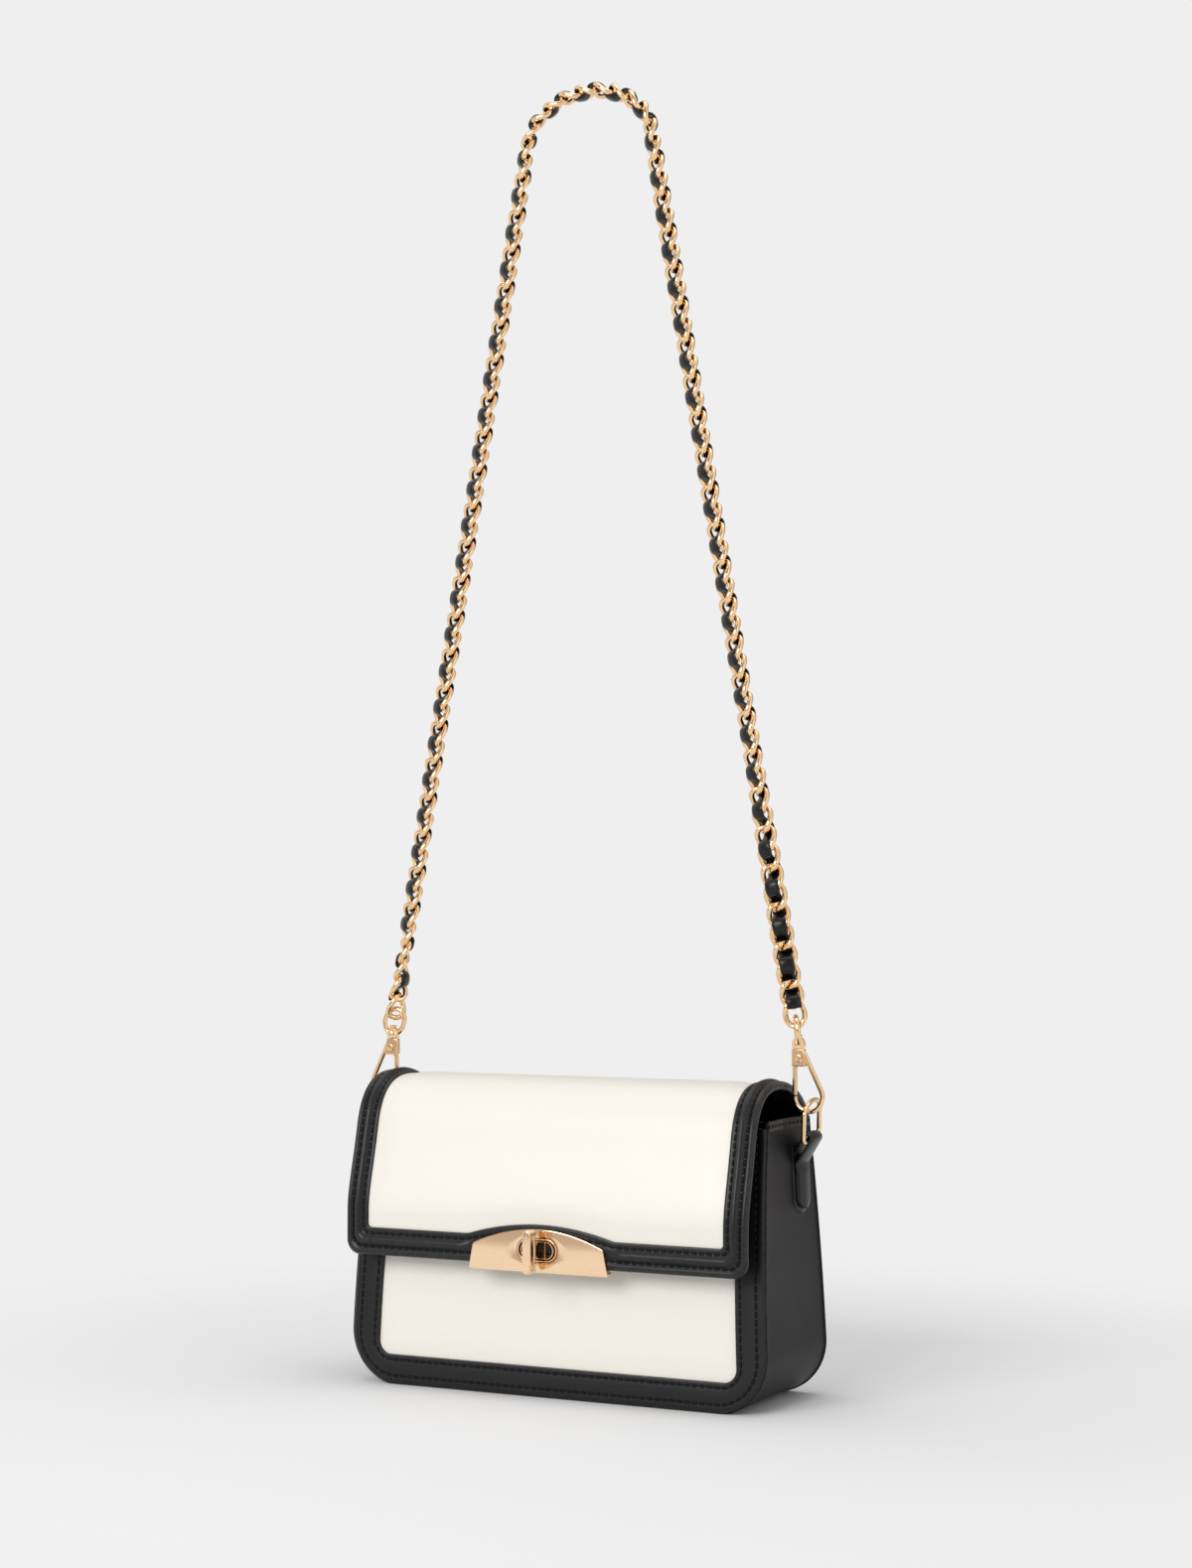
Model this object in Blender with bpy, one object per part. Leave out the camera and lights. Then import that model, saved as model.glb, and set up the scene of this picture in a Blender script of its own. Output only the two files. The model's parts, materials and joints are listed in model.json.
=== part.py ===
"""Structured flap bag on a chain strap, in metres, +Z up.

The origin is on the floor under the middle of the body. +X is the bag's width and -Y its front.
The body, the flap in two hinged stretches, the turn lock, the rings, the hooks and the strap are
separate objects. Touching pieces keep SEAT between them.
"""

import math

import bmesh
import bpy
from mathutils import Matrix, Vector

# clearances and the overrun that every cut shares
SEAT = 0.0003
RUNNING = 0.0004
OVERRUN = 0.004

# body: width and depth at the floor, and how much narrower each is at the top of the gusset
BASE_WIDTH = 0.240
WIDTH_TAPER = 0.0108
BASE_DEPTH = 0.078
DEPTH_TAPER = 0.022
BODY_HEIGHT = 0.143
CORNER_RADIUS = 0.028
FRONT_DROP = 0.003

# leather, board and lining thicknesses of the body
BORDER_THICK = 0.0012
PANEL_THICK = 0.0012
BOARD_THICK = 0.0012
GUSSET_THICK = 0.0016
BASE_BOARD_THICK = 0.0015
LINING_THICK = 0.0008

# the black border around the front and the back
BORDER_SIDE = 0.0162
BORDER_BOTTOM = 0.0155
OPENING_CORNER = 0.007

# turned binding on the gusset's top edges
BINDING_THICK = 0.0006
BINDING_DROP = 0.0050

# flap: its side line measured from the body's top and from the front's foot, and its width
FLAP_OVERHANG = 0.0004
FLAP_SEAM_DROP = 0.005
FLAP_TOP_AHEAD = 0.010
FLAP_RISE = 0.0172
FLAP_SHOULDER_AHEAD = 0.0024
FLAP_SHOULDER_DROP = 0.009
FLAP_SHOULDER_SLOPE = 0.204
FLAP_FRONT_AHEAD = 0.0114
FLAP_DROP = 0.0745
FLAP_CORNER_RADIUS = 0.0075
REAR_HANDLE = 0.014
TOP_HANDLE = 0.016
TOP_FRONT_HANDLE = 0.020
SHOULDER_HANDLE = 0.017
FALL_HANDLE = 0.016
STRAIGHT_HANDLE = 0.010
FOLD_SHARE = 0.48

# flap layers and its border
FLAP_LINING_THICK = 0.0008
FLAP_PANEL_THICK = 0.0012
FLAP_BORDER_THICK = 0.0014
FLAP_PANEL_INSET = 0.003
FLAP_BORDER_SIDE = 0.013
FLAP_BORDER_BOTTOM = 0.0145
ARCH_BAND = 0.0022
ARCH_MARGIN = 0.0035

# turn lock on the flap
PLATE_LIP = 0.003
PLATE_TALL = 0.0228
PLATE_WIDTH = 0.080
PLATE_END_TALL = 0.0130
PLATE_MARGIN = 0.0037
LOCK_UP = 0.0114
PLATE_THICK = 0.0015
LEAF_THICK = 0.0010
WINDOW_WIDTH = 0.0235
WINDOW_TALL = 0.0125
DIAL_PROUD = 0.0003
KNOB_TALL = 0.0222
KNOB_WIDE = 0.0052
KNOB_THICK = 0.0072
KNOB_STANDOFF = 0.0045
KNOB_ROUND = 0.0012
STEM_RADIUS = 0.0020
TAIL_LONG = 0.0110
TAIL_WIDE = 0.0034
TAIL_THICK = 0.0020

# keeper on the bag's front that the stem's tail goes into
KEEPER_RADIUS = 0.0085
KEEPER_FACE = 0.0010
KEEPER_WALL = 0.0016
KEEPER_FLOOR_GAP = 0.0010
STUD_RADIUS = 0.0020
WASHER_RADIUS = 0.0090
WASHER_THICK = 0.0008

# strap plane, hooks and their swivel
STRAP_BACK = 0.002
WIRE_RADIUS = 0.00125
HOOK_BOW_RADIUS = 0.0075
HOOK_THROAT = 0.0153
HOOK_SLANT = 26.0
BLOCK_TALL = 0.0088
BLOCK_TOP_WIDE = 0.0073
BLOCK_FLARE = 0.0013
BLOCK_THICK = 0.0042
BLOCK_LIP = 0.0002
RIVET_OUTSET = 0.0030
RIVET_UP = 0.0040
RIVET_RADIUS = 0.0009
RIVET_HEAD_RADIUS = 0.0020
RIVET_HEAD_THICK = 0.0006
GATE_GAP = 0.0007
TONGUE_THICK = 0.0011
TONGUE_RADIUS = 0.0021
SPRING_LONG = 0.0046
SPRING_THICK = 0.0004
POST_RADIUS = 0.0011
POST_HEAD_RADIUS = 0.0019
POST_HEAD_THICK = 0.0010
COLLAR_RADIUS = 0.0034
COLLAR_TOP_RADIUS = 0.0026
COLLAR_TALL = 0.0056
EYE_WIRE_RADIUS = 0.00135
EYE_HALF_WIDE = 0.00565
EYE_HALF_TALL = 0.0069
EYE_SEAT = 0.0021
EYE_LEAN = 7.0
EYE_TURN_LEFT = 8.0
EYE_TURN_RIGHT = 117.0

# D rings and the folded tabs that hold them
RING_BAR_DROP = 0.0098
RING_BACK = 0.012
RING_HALF_WIDE = 0.0105
RING_TALL = 0.0212
RING_ARC_TALL = 0.0070
RING_LEAN = 8.5
RING_TIP = 12.0
RING_CORNER = 0.0025
HOOK_PLAY = 0.0016
TAB_BACK = 0.0130
TAB_WIDE = 0.0130
TAB_PLY = 0.0017
TAB_LONG = 0.0382
TAB_STANDOFF = 0.0036

# chain and lace
CHAIN_WIDE = 0.0125
CHAIN_WIRE = 0.0028
CHAIN_PITCH = 0.010
CROWN_HALF_WIDE = 0.0376
CROWN_RISE = 0.030
STRAP_RISE = 0.4635
TWIST_RUN = 0.150
TWIST_LEFT = -15.0
TWIST_RIGHT = 60.0
LEG_TURN = 24.0
CROWN_SHARE = 0.2
LACE_WIDE = 0.0060
LACE_THICK = 0.0010
LACE_FLAT = 0.0018
CROWN_LINKS = 12

ARC_STEPS = 8
FLAP_STEPS = 12
PLATE_STEPS = 10
WIRE_SIDES = 8
SIDES = (("left", -1), ("right", 1))


def clear_scene():
    for old in list(bpy.data.objects):
        bpy.data.objects.remove(old, do_unlink=True)


def material(name, color, roughness, metallic):
    """A Principled material; color is linear RGB."""
    made = bpy.data.materials.new(name)
    made.use_nodes = True
    shader = made.node_tree.nodes["Principled BSDF"]
    shader.inputs["Base Color"].default_value = (*color, 1)
    shader.inputs["Roughness"].default_value = roughness
    shader.inputs["Metallic"].default_value = metallic
    made.diffuse_color = (*color, 1)
    return made


def place_object(name, data, surface, parent=None):
    """Link new mesh or curve data as an object, under an empty if one is given."""
    made = bpy.data.objects.new(name, data)
    made.data.materials.append(surface)
    bpy.context.collection.objects.link(made)
    if parent is not None:
        made.parent = parent
        made.matrix_parent_inverse = Matrix.Translation(-parent.location)
    return made


def finish_mesh(name, bm, surface, parent=None, smooth=False):
    """Close a bmesh into an object with its faces pointing out."""
    bmesh.ops.recalc_face_normals(bm, faces=bm.faces)
    data = bpy.data.meshes.new(name)
    bm.to_mesh(data)
    bm.free()
    if smooth:
        data.shade_smooth()
        data.set_sharp_from_angle(angle=math.radians(35))
    return place_object(name, data, surface, parent)


def joint_empty(name, location):
    """An empty on a joint's axis, which carries the pieces that turn about it."""
    made = bpy.data.objects.new(name, None)
    made.location = location
    bpy.context.collection.objects.link(made)
    return made


def as_guide(made):
    """Mark an object as a cutter or a partner of a union, not a piece."""
    made.hide_render = True
    made.display_type = "WIRE"
    return made


def combine(target, other, operation):
    """Leave an exact Boolean on the target, with the other object as a guide."""
    step = target.modifiers.new(operation.lower(), "BOOLEAN")
    step.operation = operation
    step.solver = "EXACT"
    step.object = as_guide(other)
    return target


def loft(name, sections, surface, parent=None, closed=False, smooth=False):
    """A solid through rings of points; open ends are capped."""
    bm = bmesh.new()
    rings = [[bm.verts.new(p) for p in section] for section in sections]
    pairs = list(zip(rings, rings[1:] + rings[:1] if closed else rings[1:]))
    for here, there in pairs:
        for k in range(len(here)):
            n = (k + 1) % len(here)
            bm.faces.new((here[k], here[n], there[n], there[k]))
    if not closed:
        bm.faces.new(rings[0])
        bm.faces.new(rings[-1])
    return finish_mesh(name, bm, surface, parent, smooth)


def slab(name, outline, front, back, surface, parent=None):
    """An outline in X and Z, made solid between two planes that give Y at a height."""
    near = [(x, front(z), z) for x, z in outline]
    far = [(x, back(z), z) for x, z in outline]
    return loft(name, [near, far], surface, parent)


def sheet(name, lower, upper, keep, surface, parent=None):
    """A closed skin between two grids of points, made of the cells that keep(i, j) names."""
    bm = bmesh.new()
    made = {}

    def corner(layer, i, j):
        key = (layer, i, j)
        if key not in made:
            made[key] = bm.verts.new((lower, upper)[layer][i][j])
        return made[key]

    columns, rows = len(lower) - 1, len(lower[0]) - 1
    cells = {(i, j) for i in range(columns) for j in range(rows) if keep(i, j)}
    for i, j in cells:
        for layer in (0, 1):
            loop = ((i, j), (i + 1, j), (i + 1, j + 1), (i, j + 1))
            bm.faces.new([corner(layer, *c) for c in loop])
        edges = (
            ((i - 1, j), (i, j), (i, j + 1)),
            ((i + 1, j), (i + 1, j), (i + 1, j + 1)),
            ((i, j - 1), (i, j), (i + 1, j)),
            ((i, j + 1), (i, j + 1), (i + 1, j + 1)),
        )
        for beyond, a, b in edges:
            if beyond not in cells:
                bm.faces.new((corner(0, *a), corner(0, *b), corner(1, *b), corner(1, *a)))
    return finish_mesh(name, bm, surface, parent)


def turned(name, rings, axis_point, axis, surface, parent=None, sides=16):
    """A round solid from (distance along the axis, radius) pairs."""
    axis = Vector(axis).normalized()
    across = axis.orthogonal().normalized()
    other = axis.cross(across)
    sections = []
    for along, radius in rings:
        middle = Vector(axis_point) + axis * along
        angles = [2 * math.pi * k / sides for k in range(sides)]
        sections.append(
            [middle + radius * (across * math.cos(a) + other * math.sin(a)) for a in angles]
        )
    return loft(name, sections, surface, parent, smooth=True)


def wire(name, points, normal, radius, surface, parent=None, cyclic=False):
    """A round wire along points that lie in the plane with that normal."""
    points = [Vector(p) for p in points]
    normal = Vector(normal).normalized()
    last = len(points) - 1
    sections = []
    for k, p in enumerate(points):
        before = points[k - 1] if k or cyclic else points[0]
        after = points[(k + 1) % len(points)] if k < last or cyclic else points[last]
        side = (after - before).cross(normal).normalized()
        angles = [2 * math.pi * n / WIRE_SIDES for n in range(WIRE_SIDES)]
        sections.append([p + radius * (side * math.cos(a) + normal * math.sin(a)) for a in angles])
    return loft(name, sections, surface, parent, closed=cyclic, smooth=True)


def arc(center, radius, start, end, steps):
    """Points (a, b) on a circle, from one angle in degrees to another."""
    turns = [math.radians(start + (end - start) * k / steps) for k in range(steps + 1)]
    return [(center[0] + radius * math.cos(t), center[1] + radius * math.sin(t)) for t in turns]


def oval(center_height, wide, tall):
    """A stadium outline in X and Z."""
    radius = tall / 2
    reach = wide / 2 - radius
    right = arc((reach, center_height), radius, -90, 90, ARC_STEPS)
    left = arc((-reach, center_height), radius, 90, 270, ARC_STEPS)
    return right + left


def body_half_width(height):
    """Half of the body's width at a height."""
    return (BASE_WIDTH - WIDTH_TAPER * height / BODY_HEIGHT) / 2


def front_plane(inset):
    """Y of the front's outer face at a height, moved into the bag by inset."""
    slope = DEPTH_TAPER / 2 / BODY_HEIGHT
    return lambda z: -BASE_DEPTH / 2 + slope * z + inset


def back_plane(inset):
    """Y of the back's outer face at a height, moved into the bag by inset."""
    slope = DEPTH_TAPER / 2 / BODY_HEIGHT
    return lambda z: BASE_DEPTH / 2 - slope * z - inset


def cup_outline(side, bottom, corner, top):
    """The body's front outline in X and Z, drawn in at its sides and bottom, from the top right."""
    height = bottom + corner
    middle = body_half_width(height) - side - corner
    right = arc((middle, height), corner, 0, -90, ARC_STEPS)
    line = [(body_half_width(top) - side, top)] + right
    return line + [(-x, z) for x, z in reversed(line)]


# places that follow from the sizes above
FRONT_HEIGHT = BODY_HEIGHT - FRONT_DROP
PANEL_FACE = BORDER_THICK + SEAT
BOARD_FACE = PANEL_FACE + PANEL_THICK + SEAT
LINING_FACE = BOARD_FACE + BOARD_THICK + SEAT
SHELL_INSET = GUSSET_THICK + SEAT
LINING_INSET = SHELL_INSET + BASE_BOARD_THICK + SEAT
FLAP_HALF_WIDTH = body_half_width(BODY_HEIGHT) + FLAP_OVERHANG
FLAP_SEAM_HEIGHT = BODY_HEIGHT - FLAP_SEAM_DROP
FLAP_FRONT_BACK = -BASE_DEPTH / 2 - FLAP_FRONT_AHEAD
FLAP_BOTTOM_HEIGHT = BODY_HEIGHT - FLAP_DROP
PLATE_BOTTOM_HEIGHT = FLAP_BOTTOM_HEIGHT - PLATE_LIP
PLATE_TOP_HEIGHT = PLATE_BOTTOM_HEIGHT + PLATE_TALL
LOCK_HEIGHT = PLATE_BOTTOM_HEIGHT + LOCK_UP
ARCH_RISE = PLATE_TOP_HEIGHT + ARCH_BAND - FLAP_BOTTOM_HEIGHT - FLAP_BORDER_BOTTOM
RING_BAR_HEIGHT = BODY_HEIGHT - RING_BAR_DROP
TAB_FOLD = WIRE_RADIUS + SEAT + TAB_PLY
RING_BAR_ACROSS = body_half_width(RING_BAR_HEIGHT) + SEAT + TAB_STANDOFF + TAB_FOLD


def build_panel_stack(side, plane, top, surfaces):
    """The border, the panel and the board of the front or the back."""
    rim = cup_outline(0, 0, CORNER_RADIUS, top)
    opening = cup_outline(BORDER_SIDE, BORDER_BOTTOM, OPENING_CORNER, top)
    inner = cup_outline(SHELL_INSET, SHELL_INSET, CORNER_RADIUS - SHELL_INSET, top)
    u_shape = rim + list(reversed(opening))
    slab(f"{side}_border", u_shape, plane(0), plane(BORDER_THICK), surfaces["black"])
    panel = slab(
        f"{side}_panel", inner, plane(PANEL_FACE), plane(PANEL_FACE + PANEL_THICK), surfaces["cream"]
    )
    board = slab(
        f"{side}_board", inner, plane(BOARD_FACE), plane(BOARD_FACE + BOARD_THICK), surfaces["board"]
    )
    return panel, board


def build_gusset(surfaces):
    """The one strip that makes both sides and the bottom."""
    outer = cup_outline(0, 0, CORNER_RADIUS, BODY_HEIGHT)
    inner = cup_outline(GUSSET_THICK, GUSSET_THICK, CORNER_RADIUS - GUSSET_THICK, BODY_HEIGHT)
    strip = outer + list(reversed(inner))
    slab("gusset", strip, front_plane(PANEL_FACE), back_plane(LINING_FACE), surfaces["black"])


def build_lining(surfaces):
    """The open pouch inside, and the board under it."""
    walls = LINING_INSET + LINING_THICK
    corner = CORNER_RADIUS - LINING_INSET
    outside = cup_outline(LINING_INSET, LINING_INSET, corner, FLAP_SEAM_HEIGHT)
    inside = cup_outline(walls, walls, corner - LINING_THICK, FLAP_SEAM_HEIGHT + OVERRUN)
    pouch = slab("lining", outside, front_plane(LINING_FACE), back_plane(LINING_FACE), surfaces["lining"])
    hollow = slab(
        "lining_cut",
        inside,
        front_plane(LINING_FACE + LINING_THICK),
        back_plane(LINING_FACE + LINING_THICK),
        surfaces["lining"],
    )
    combine(pouch, hollow, "DIFFERENCE")
    reach = body_half_width(CORNER_RADIUS) - CORNER_RADIUS
    low, high = SHELL_INSET, SHELL_INSET + BASE_BOARD_THICK
    plank = [(reach, low), (reach, high), (-reach, high), (-reach, low)]
    slab("base_board", plank, front_plane(LINING_FACE), back_plane(LINING_FACE), surfaces["board"])


def build_bindings(surfaces):
    """The turned leather over each gusset top edge, a channel seen along Y."""
    low = BODY_HEIGHT - BINDING_DROP
    reach = SEAT + BINDING_THICK
    for side, sign in SIDES:
        edge = lambda z: body_half_width(min(z, BODY_HEIGHT))
        channel = [
            (edge(low) + reach, low),
            (edge(BODY_HEIGHT) + reach, BODY_HEIGHT + reach),
            (edge(BODY_HEIGHT) - GUSSET_THICK - reach, BODY_HEIGHT + reach),
            (edge(low) - GUSSET_THICK - reach, low),
            (edge(low) - GUSSET_THICK - SEAT, low),
            (edge(BODY_HEIGHT) - GUSSET_THICK - SEAT, BODY_HEIGHT + SEAT),
            (edge(BODY_HEIGHT) + SEAT, BODY_HEIGHT + SEAT),
            (edge(low) + SEAT, low),
        ]
        channel = [(sign * x, z) for x, z in channel]
        slab(
            f"gusset_binding_{side}",
            channel,
            front_plane(LINING_FACE),
            back_plane(LINING_FACE + SEAT),
            surfaces["black"],
        )


def ring_directions(sign):
    """Along a D ring's bar, which rises to the back, and from the bar to the ring's top."""
    lean, tip = math.radians(RING_LEAN), math.radians(RING_TIP)
    along = Vector((0, math.cos(tip), math.sin(tip)))
    up = Vector((sign * math.sin(lean), -math.cos(lean) * math.sin(tip), math.cos(lean) * math.cos(tip)))
    return along, up


def build_tabs(surfaces):
    """The folded leather tab on each side, with the bore that the ring's bar lies in."""
    bore = TAB_FOLD - TAB_PLY
    for side, sign in SIDES:
        base = lambda z: body_half_width(z) + SEAT
        low, high = RING_BAR_HEIGHT - TAB_LONG, RING_BAR_HEIGHT
        turn = arc((RING_BAR_ACROSS, high), TAB_FOLD, 180, -40, ARC_STEPS)
        outline = [(base(low), low), (base(high - TAB_FOLD), high - TAB_FOLD)]
        outline += [(max(x, base(z)), z) for x, z in turn]
        neck = high - 2 * TAB_FOLD
        outline += [(base(neck) + 2 * TAB_PLY, neck), (base(low) + 2 * TAB_PLY, low)]
        outline = [(sign * x, z) for x, z in outline]
        rings = []
        for y in (TAB_BACK - TAB_WIDE / 2, TAB_BACK + TAB_WIDE / 2):
            skew = (y - RING_BACK) * math.tan(math.radians(RING_TIP))
            rings.append([(x, y, z + skew if z > neck else z) for x, z in outline])
        tab = loft(f"tab_{side}", rings, surfaces["black"])
        reach = TAB_WIDE / 2 + abs(TAB_BACK - RING_BACK) + OVERRUN
        bar_at = (sign * RING_BAR_ACROSS, RING_BACK, high)
        along = ring_directions(sign)[0]
        hole = turned(f"tab_bore_{side}", [(-reach, bore), (reach, bore)], bar_at, along, surfaces["black"])
        combine(tab, hole, "DIFFERENCE")


def bezier(a, b, c, d, steps):
    """Points on a cubic curve after its first one."""
    out = []
    for k in range(1, steps + 1):
        t = k / steps
        weights = ((1 - t) ** 3, 3 * t * (1 - t) ** 2, 3 * t * t * (1 - t), t**3)
        out.append(sum((Vector(p) * w for p, w in zip((a, b, c, d), weights)), Vector((0, 0))))
    return out


FLAP_PROUD = FLAP_PANEL_THICK / 2 + SEAT + FLAP_BORDER_THICK


def flap_line():
    """The flap's side line in Y and Z, from the seam at the back to its bottom edge."""
    rise = Vector((back_plane(0)(1) - back_plane(0)(0), 1)).normalized()
    start = Vector((back_plane(FLAP_PROUD)(FLAP_SEAM_HEIGHT), FLAP_SEAM_HEIGHT))
    top = Vector((-FLAP_TOP_AHEAD, BODY_HEIGHT + FLAP_RISE))
    shoulder = Vector((-BASE_DEPTH / 2 - FLAP_SHOULDER_AHEAD, BODY_HEIGHT - FLAP_SHOULDER_DROP))
    front = Vector((FLAP_FRONT_BACK, PLATE_TOP_HEIGHT + PLATE_MARGIN))
    ahead = Vector((-1, 0))
    fall = Vector((-FLAP_SHOULDER_SLOPE, -1)).normalized()
    down = Vector((0, -1))
    line = [start]
    line += bezier(start, start + rise * REAR_HANDLE, top - ahead * TOP_HANDLE, top, 3 * FLAP_STEPS)
    knee = shoulder - fall * SHOULDER_HANDLE
    line += bezier(top, top + ahead * TOP_FRONT_HANDLE, knee, shoulder, 3 * FLAP_STEPS)
    above = front - down * STRAIGHT_HANDLE
    line += bezier(shoulder, shoulder + fall * FALL_HANDLE, above, front, 3 * FLAP_STEPS)
    line.append(Vector((FLAP_FRONT_BACK, FLAP_BOTTOM_HEIGHT)))
    return line


def lengths_along(line):
    """The distance from the start to each point."""
    out = [0]
    for a, b in zip(line, line[1:]):
        out.append(out[-1] + (b - a).length)
    return out


FLAP_LINE = flap_line()
FLAP_DISTANCES = lengths_along(FLAP_LINE)
FLAP_LENGTH = FLAP_DISTANCES[-1]
FOLD_AT = FLAP_LENGTH * FOLD_SHARE


def flap_spot(distance, offset):
    """(Y, Z) on the flap's side line, moved out from it by offset."""
    last = len(FLAP_LINE) - 2
    k = next((i for i in range(last) if FLAP_DISTANCES[i + 1] >= distance), last)
    step = FLAP_LINE[k + 1] - FLAP_LINE[k]
    here = FLAP_LINE[k] + step.normalized() * (distance - FLAP_DISTANCES[k])
    ahead = (flap_direction(k) + flap_direction(k + 1)) / 2
    outward = Vector((ahead.y, -ahead.x)).normalized()
    return here + outward * offset


def flap_direction(k):
    """The line's direction at one of its points."""
    low, high = max(k - 1, 0), min(k + 1, len(FLAP_LINE) - 1)
    return (FLAP_LINE[high] - FLAP_LINE[low]).normalized()


def flap_reach(across):
    """How far along its line the flap runs at a place across it, with round bottom corners."""
    past = abs(across) - (FLAP_HALF_WIDTH - FLAP_CORNER_RADIUS)
    if past <= 0:
        return FLAP_LENGTH
    drop = math.sqrt(max(FLAP_CORNER_RADIUS**2 - past**2, 0))
    return FLAP_LENGTH - FLAP_CORNER_RADIUS + drop


def border_edge(across):
    """How far along its line the cream field runs, with the arch over the lock's plate."""
    edge = FLAP_LENGTH - FLAP_BORDER_BOTTOM
    half = PLATE_WIDTH / 2 + ARCH_MARGIN
    if abs(across) >= half:
        return edge
    return edge - ARCH_RISE * (1 - (across / half) ** 2)


def flap_skin(name, columns, row_lines, inner, outer, keep, surface, parent):
    """One layer of the flap between two offsets; row_lines gives the distances at a column."""
    grids = []
    for offset in (inner, outer):
        grid = []
        for across in columns:
            spots = [flap_spot(d, offset) for d in row_lines(across)]
            grid.append([(across, y, z) for y, z in spots])
        grids.append(grid)
    return sheet(name, *grids, keep, surface, parent)


def evenly(start, end, steps):
    return [start + (end - start) * k / steps for k in range(steps + 1)]


def flap_layers():
    """(name, inner offset, outer offset) of the lining, the panel and the border."""
    panel_in, panel_out = -FLAP_PANEL_THICK / 2, FLAP_PANEL_THICK / 2
    lining_out = panel_in - SEAT
    border_in = panel_out + SEAT
    return {
        "lining": (lining_out - FLAP_LINING_THICK, lining_out),
        "panel": (panel_in, panel_out),
        "border": (border_in, border_in + FLAP_BORDER_THICK),
    }


def build_flap_top(surfaces, hinge):
    """The stretch of the flap that roofs the bag."""
    layers = flap_layers()
    start, end = SEAT / 2, FOLD_AT - SEAT / 2
    rows = lambda across: evenly(start, end, FLAP_STEPS)
    reach = FLAP_HALF_WIDTH - FLAP_PANEL_INSET
    everything = lambda i, j: True
    for layer, surface in (("lining", surfaces["lining"]), ("panel", surfaces["cream"])):
        name = f"flap_top_{layer}"
        flap_skin(name, [-reach, reach], rows, *layers[layer], everything, surface, hinge)
    inner = FLAP_HALF_WIDTH - FLAP_BORDER_SIDE
    for side, sign in SIDES:
        columns = sorted((sign * inner, sign * FLAP_HALF_WIDTH))
        flap_skin(
            f"flap_top_border_{side}", columns, rows, *layers["border"], everything, surfaces["black"], hinge
        )


def corner_columns(half, radius):
    """Places across a sheet, close together where its bottom corners are round."""
    edge = [half - radius + radius * math.sin(math.radians(a)) for a in (30, 55, 75, 90)]
    return edge


def build_flap_front(surfaces, hinge):
    """The stretch of the flap that hangs over the front, cut by the lock's window."""
    layers = flap_layers()
    start = FOLD_AT + SEAT / 2
    edge = corner_columns(FLAP_HALF_WIDTH, FLAP_CORNER_RADIUS)
    arch = evenly(0, PLATE_WIDTH / 2 + ARCH_MARGIN, PLATE_STEPS // 2)[1:]
    field = FLAP_HALF_WIDTH - FLAP_BORDER_SIDE
    half = sorted({*arch, field, FLAP_HALF_WIDTH - FLAP_CORNER_RADIUS, *edge})
    columns = [-c for c in reversed(half)] + [0] + half
    upper = 6

    def border_rows(across):
        return evenly(start, border_edge(across), upper) + [flap_reach(across)]

    def on_border(i, j):
        middle = (columns[i] + columns[i + 1]) / 2
        return j == upper or abs(middle) > field

    border = flap_skin(
        "flap_front_border", columns, border_rows, *layers["border"], on_border, surfaces["black"], hinge
    )
    reach = FLAP_HALF_WIDTH - FLAP_PANEL_INSET
    plain = lambda across: evenly(start, FLAP_LENGTH - FLAP_PANEL_INSET, upper)
    everything = lambda i, j: True
    pieces = [border]
    for layer, surface in (("lining", surfaces["lining"]), ("panel", surfaces["cream"])):
        name = f"flap_front_{layer}"
        pieces.append(flap_skin(name, [-reach, reach], plain, *layers[layer], everything, surface, hinge))
    return pieces


def lock_places():
    """Y of each face of the lock, from the leaf behind the flap to the knob's front."""
    layers = flap_layers()
    face = FLAP_FRONT_BACK - layers["border"][1] - SEAT
    behind = FLAP_FRONT_BACK - layers["lining"][0] + SEAT
    plate_front = face - PLATE_THICK
    dial_front = plate_front - DIAL_PROUD
    leaf_back = behind + LEAF_THICK
    keeper_front = leaf_back + RUNNING
    tail_front = keeper_front + KEEPER_FACE + RUNNING
    return {
        "plate_back": face,
        "plate_front": plate_front,
        "dial_front": dial_front,
        "dial_back": behind - SEAT,
        "leaf_front": behind,
        "leaf_back": leaf_back,
        "knob_back": dial_front - KNOB_STANDOFF,
        "knob_front": dial_front - KNOB_STANDOFF - KNOB_THICK,
        "keeper_front": keeper_front,
        "tail_front": tail_front,
        "tail_back": tail_front + TAIL_THICK,
    }


def plate_outline(drop):
    """The lock plate's outline: straight below, low ends and an arched top."""
    half = PLATE_WIDTH / 2 - drop
    low, high = PLATE_BOTTOM_HEIGHT + drop, PLATE_TOP_HEIGHT - drop
    end = PLATE_BOTTOM_HEIGHT + PLATE_END_TALL
    rise = high - end
    top = [(half * x, end + rise * (1 - x * x)) for x in evenly(1, -1, PLATE_STEPS)]
    return [(-half, low), (half, low)] + top


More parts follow.
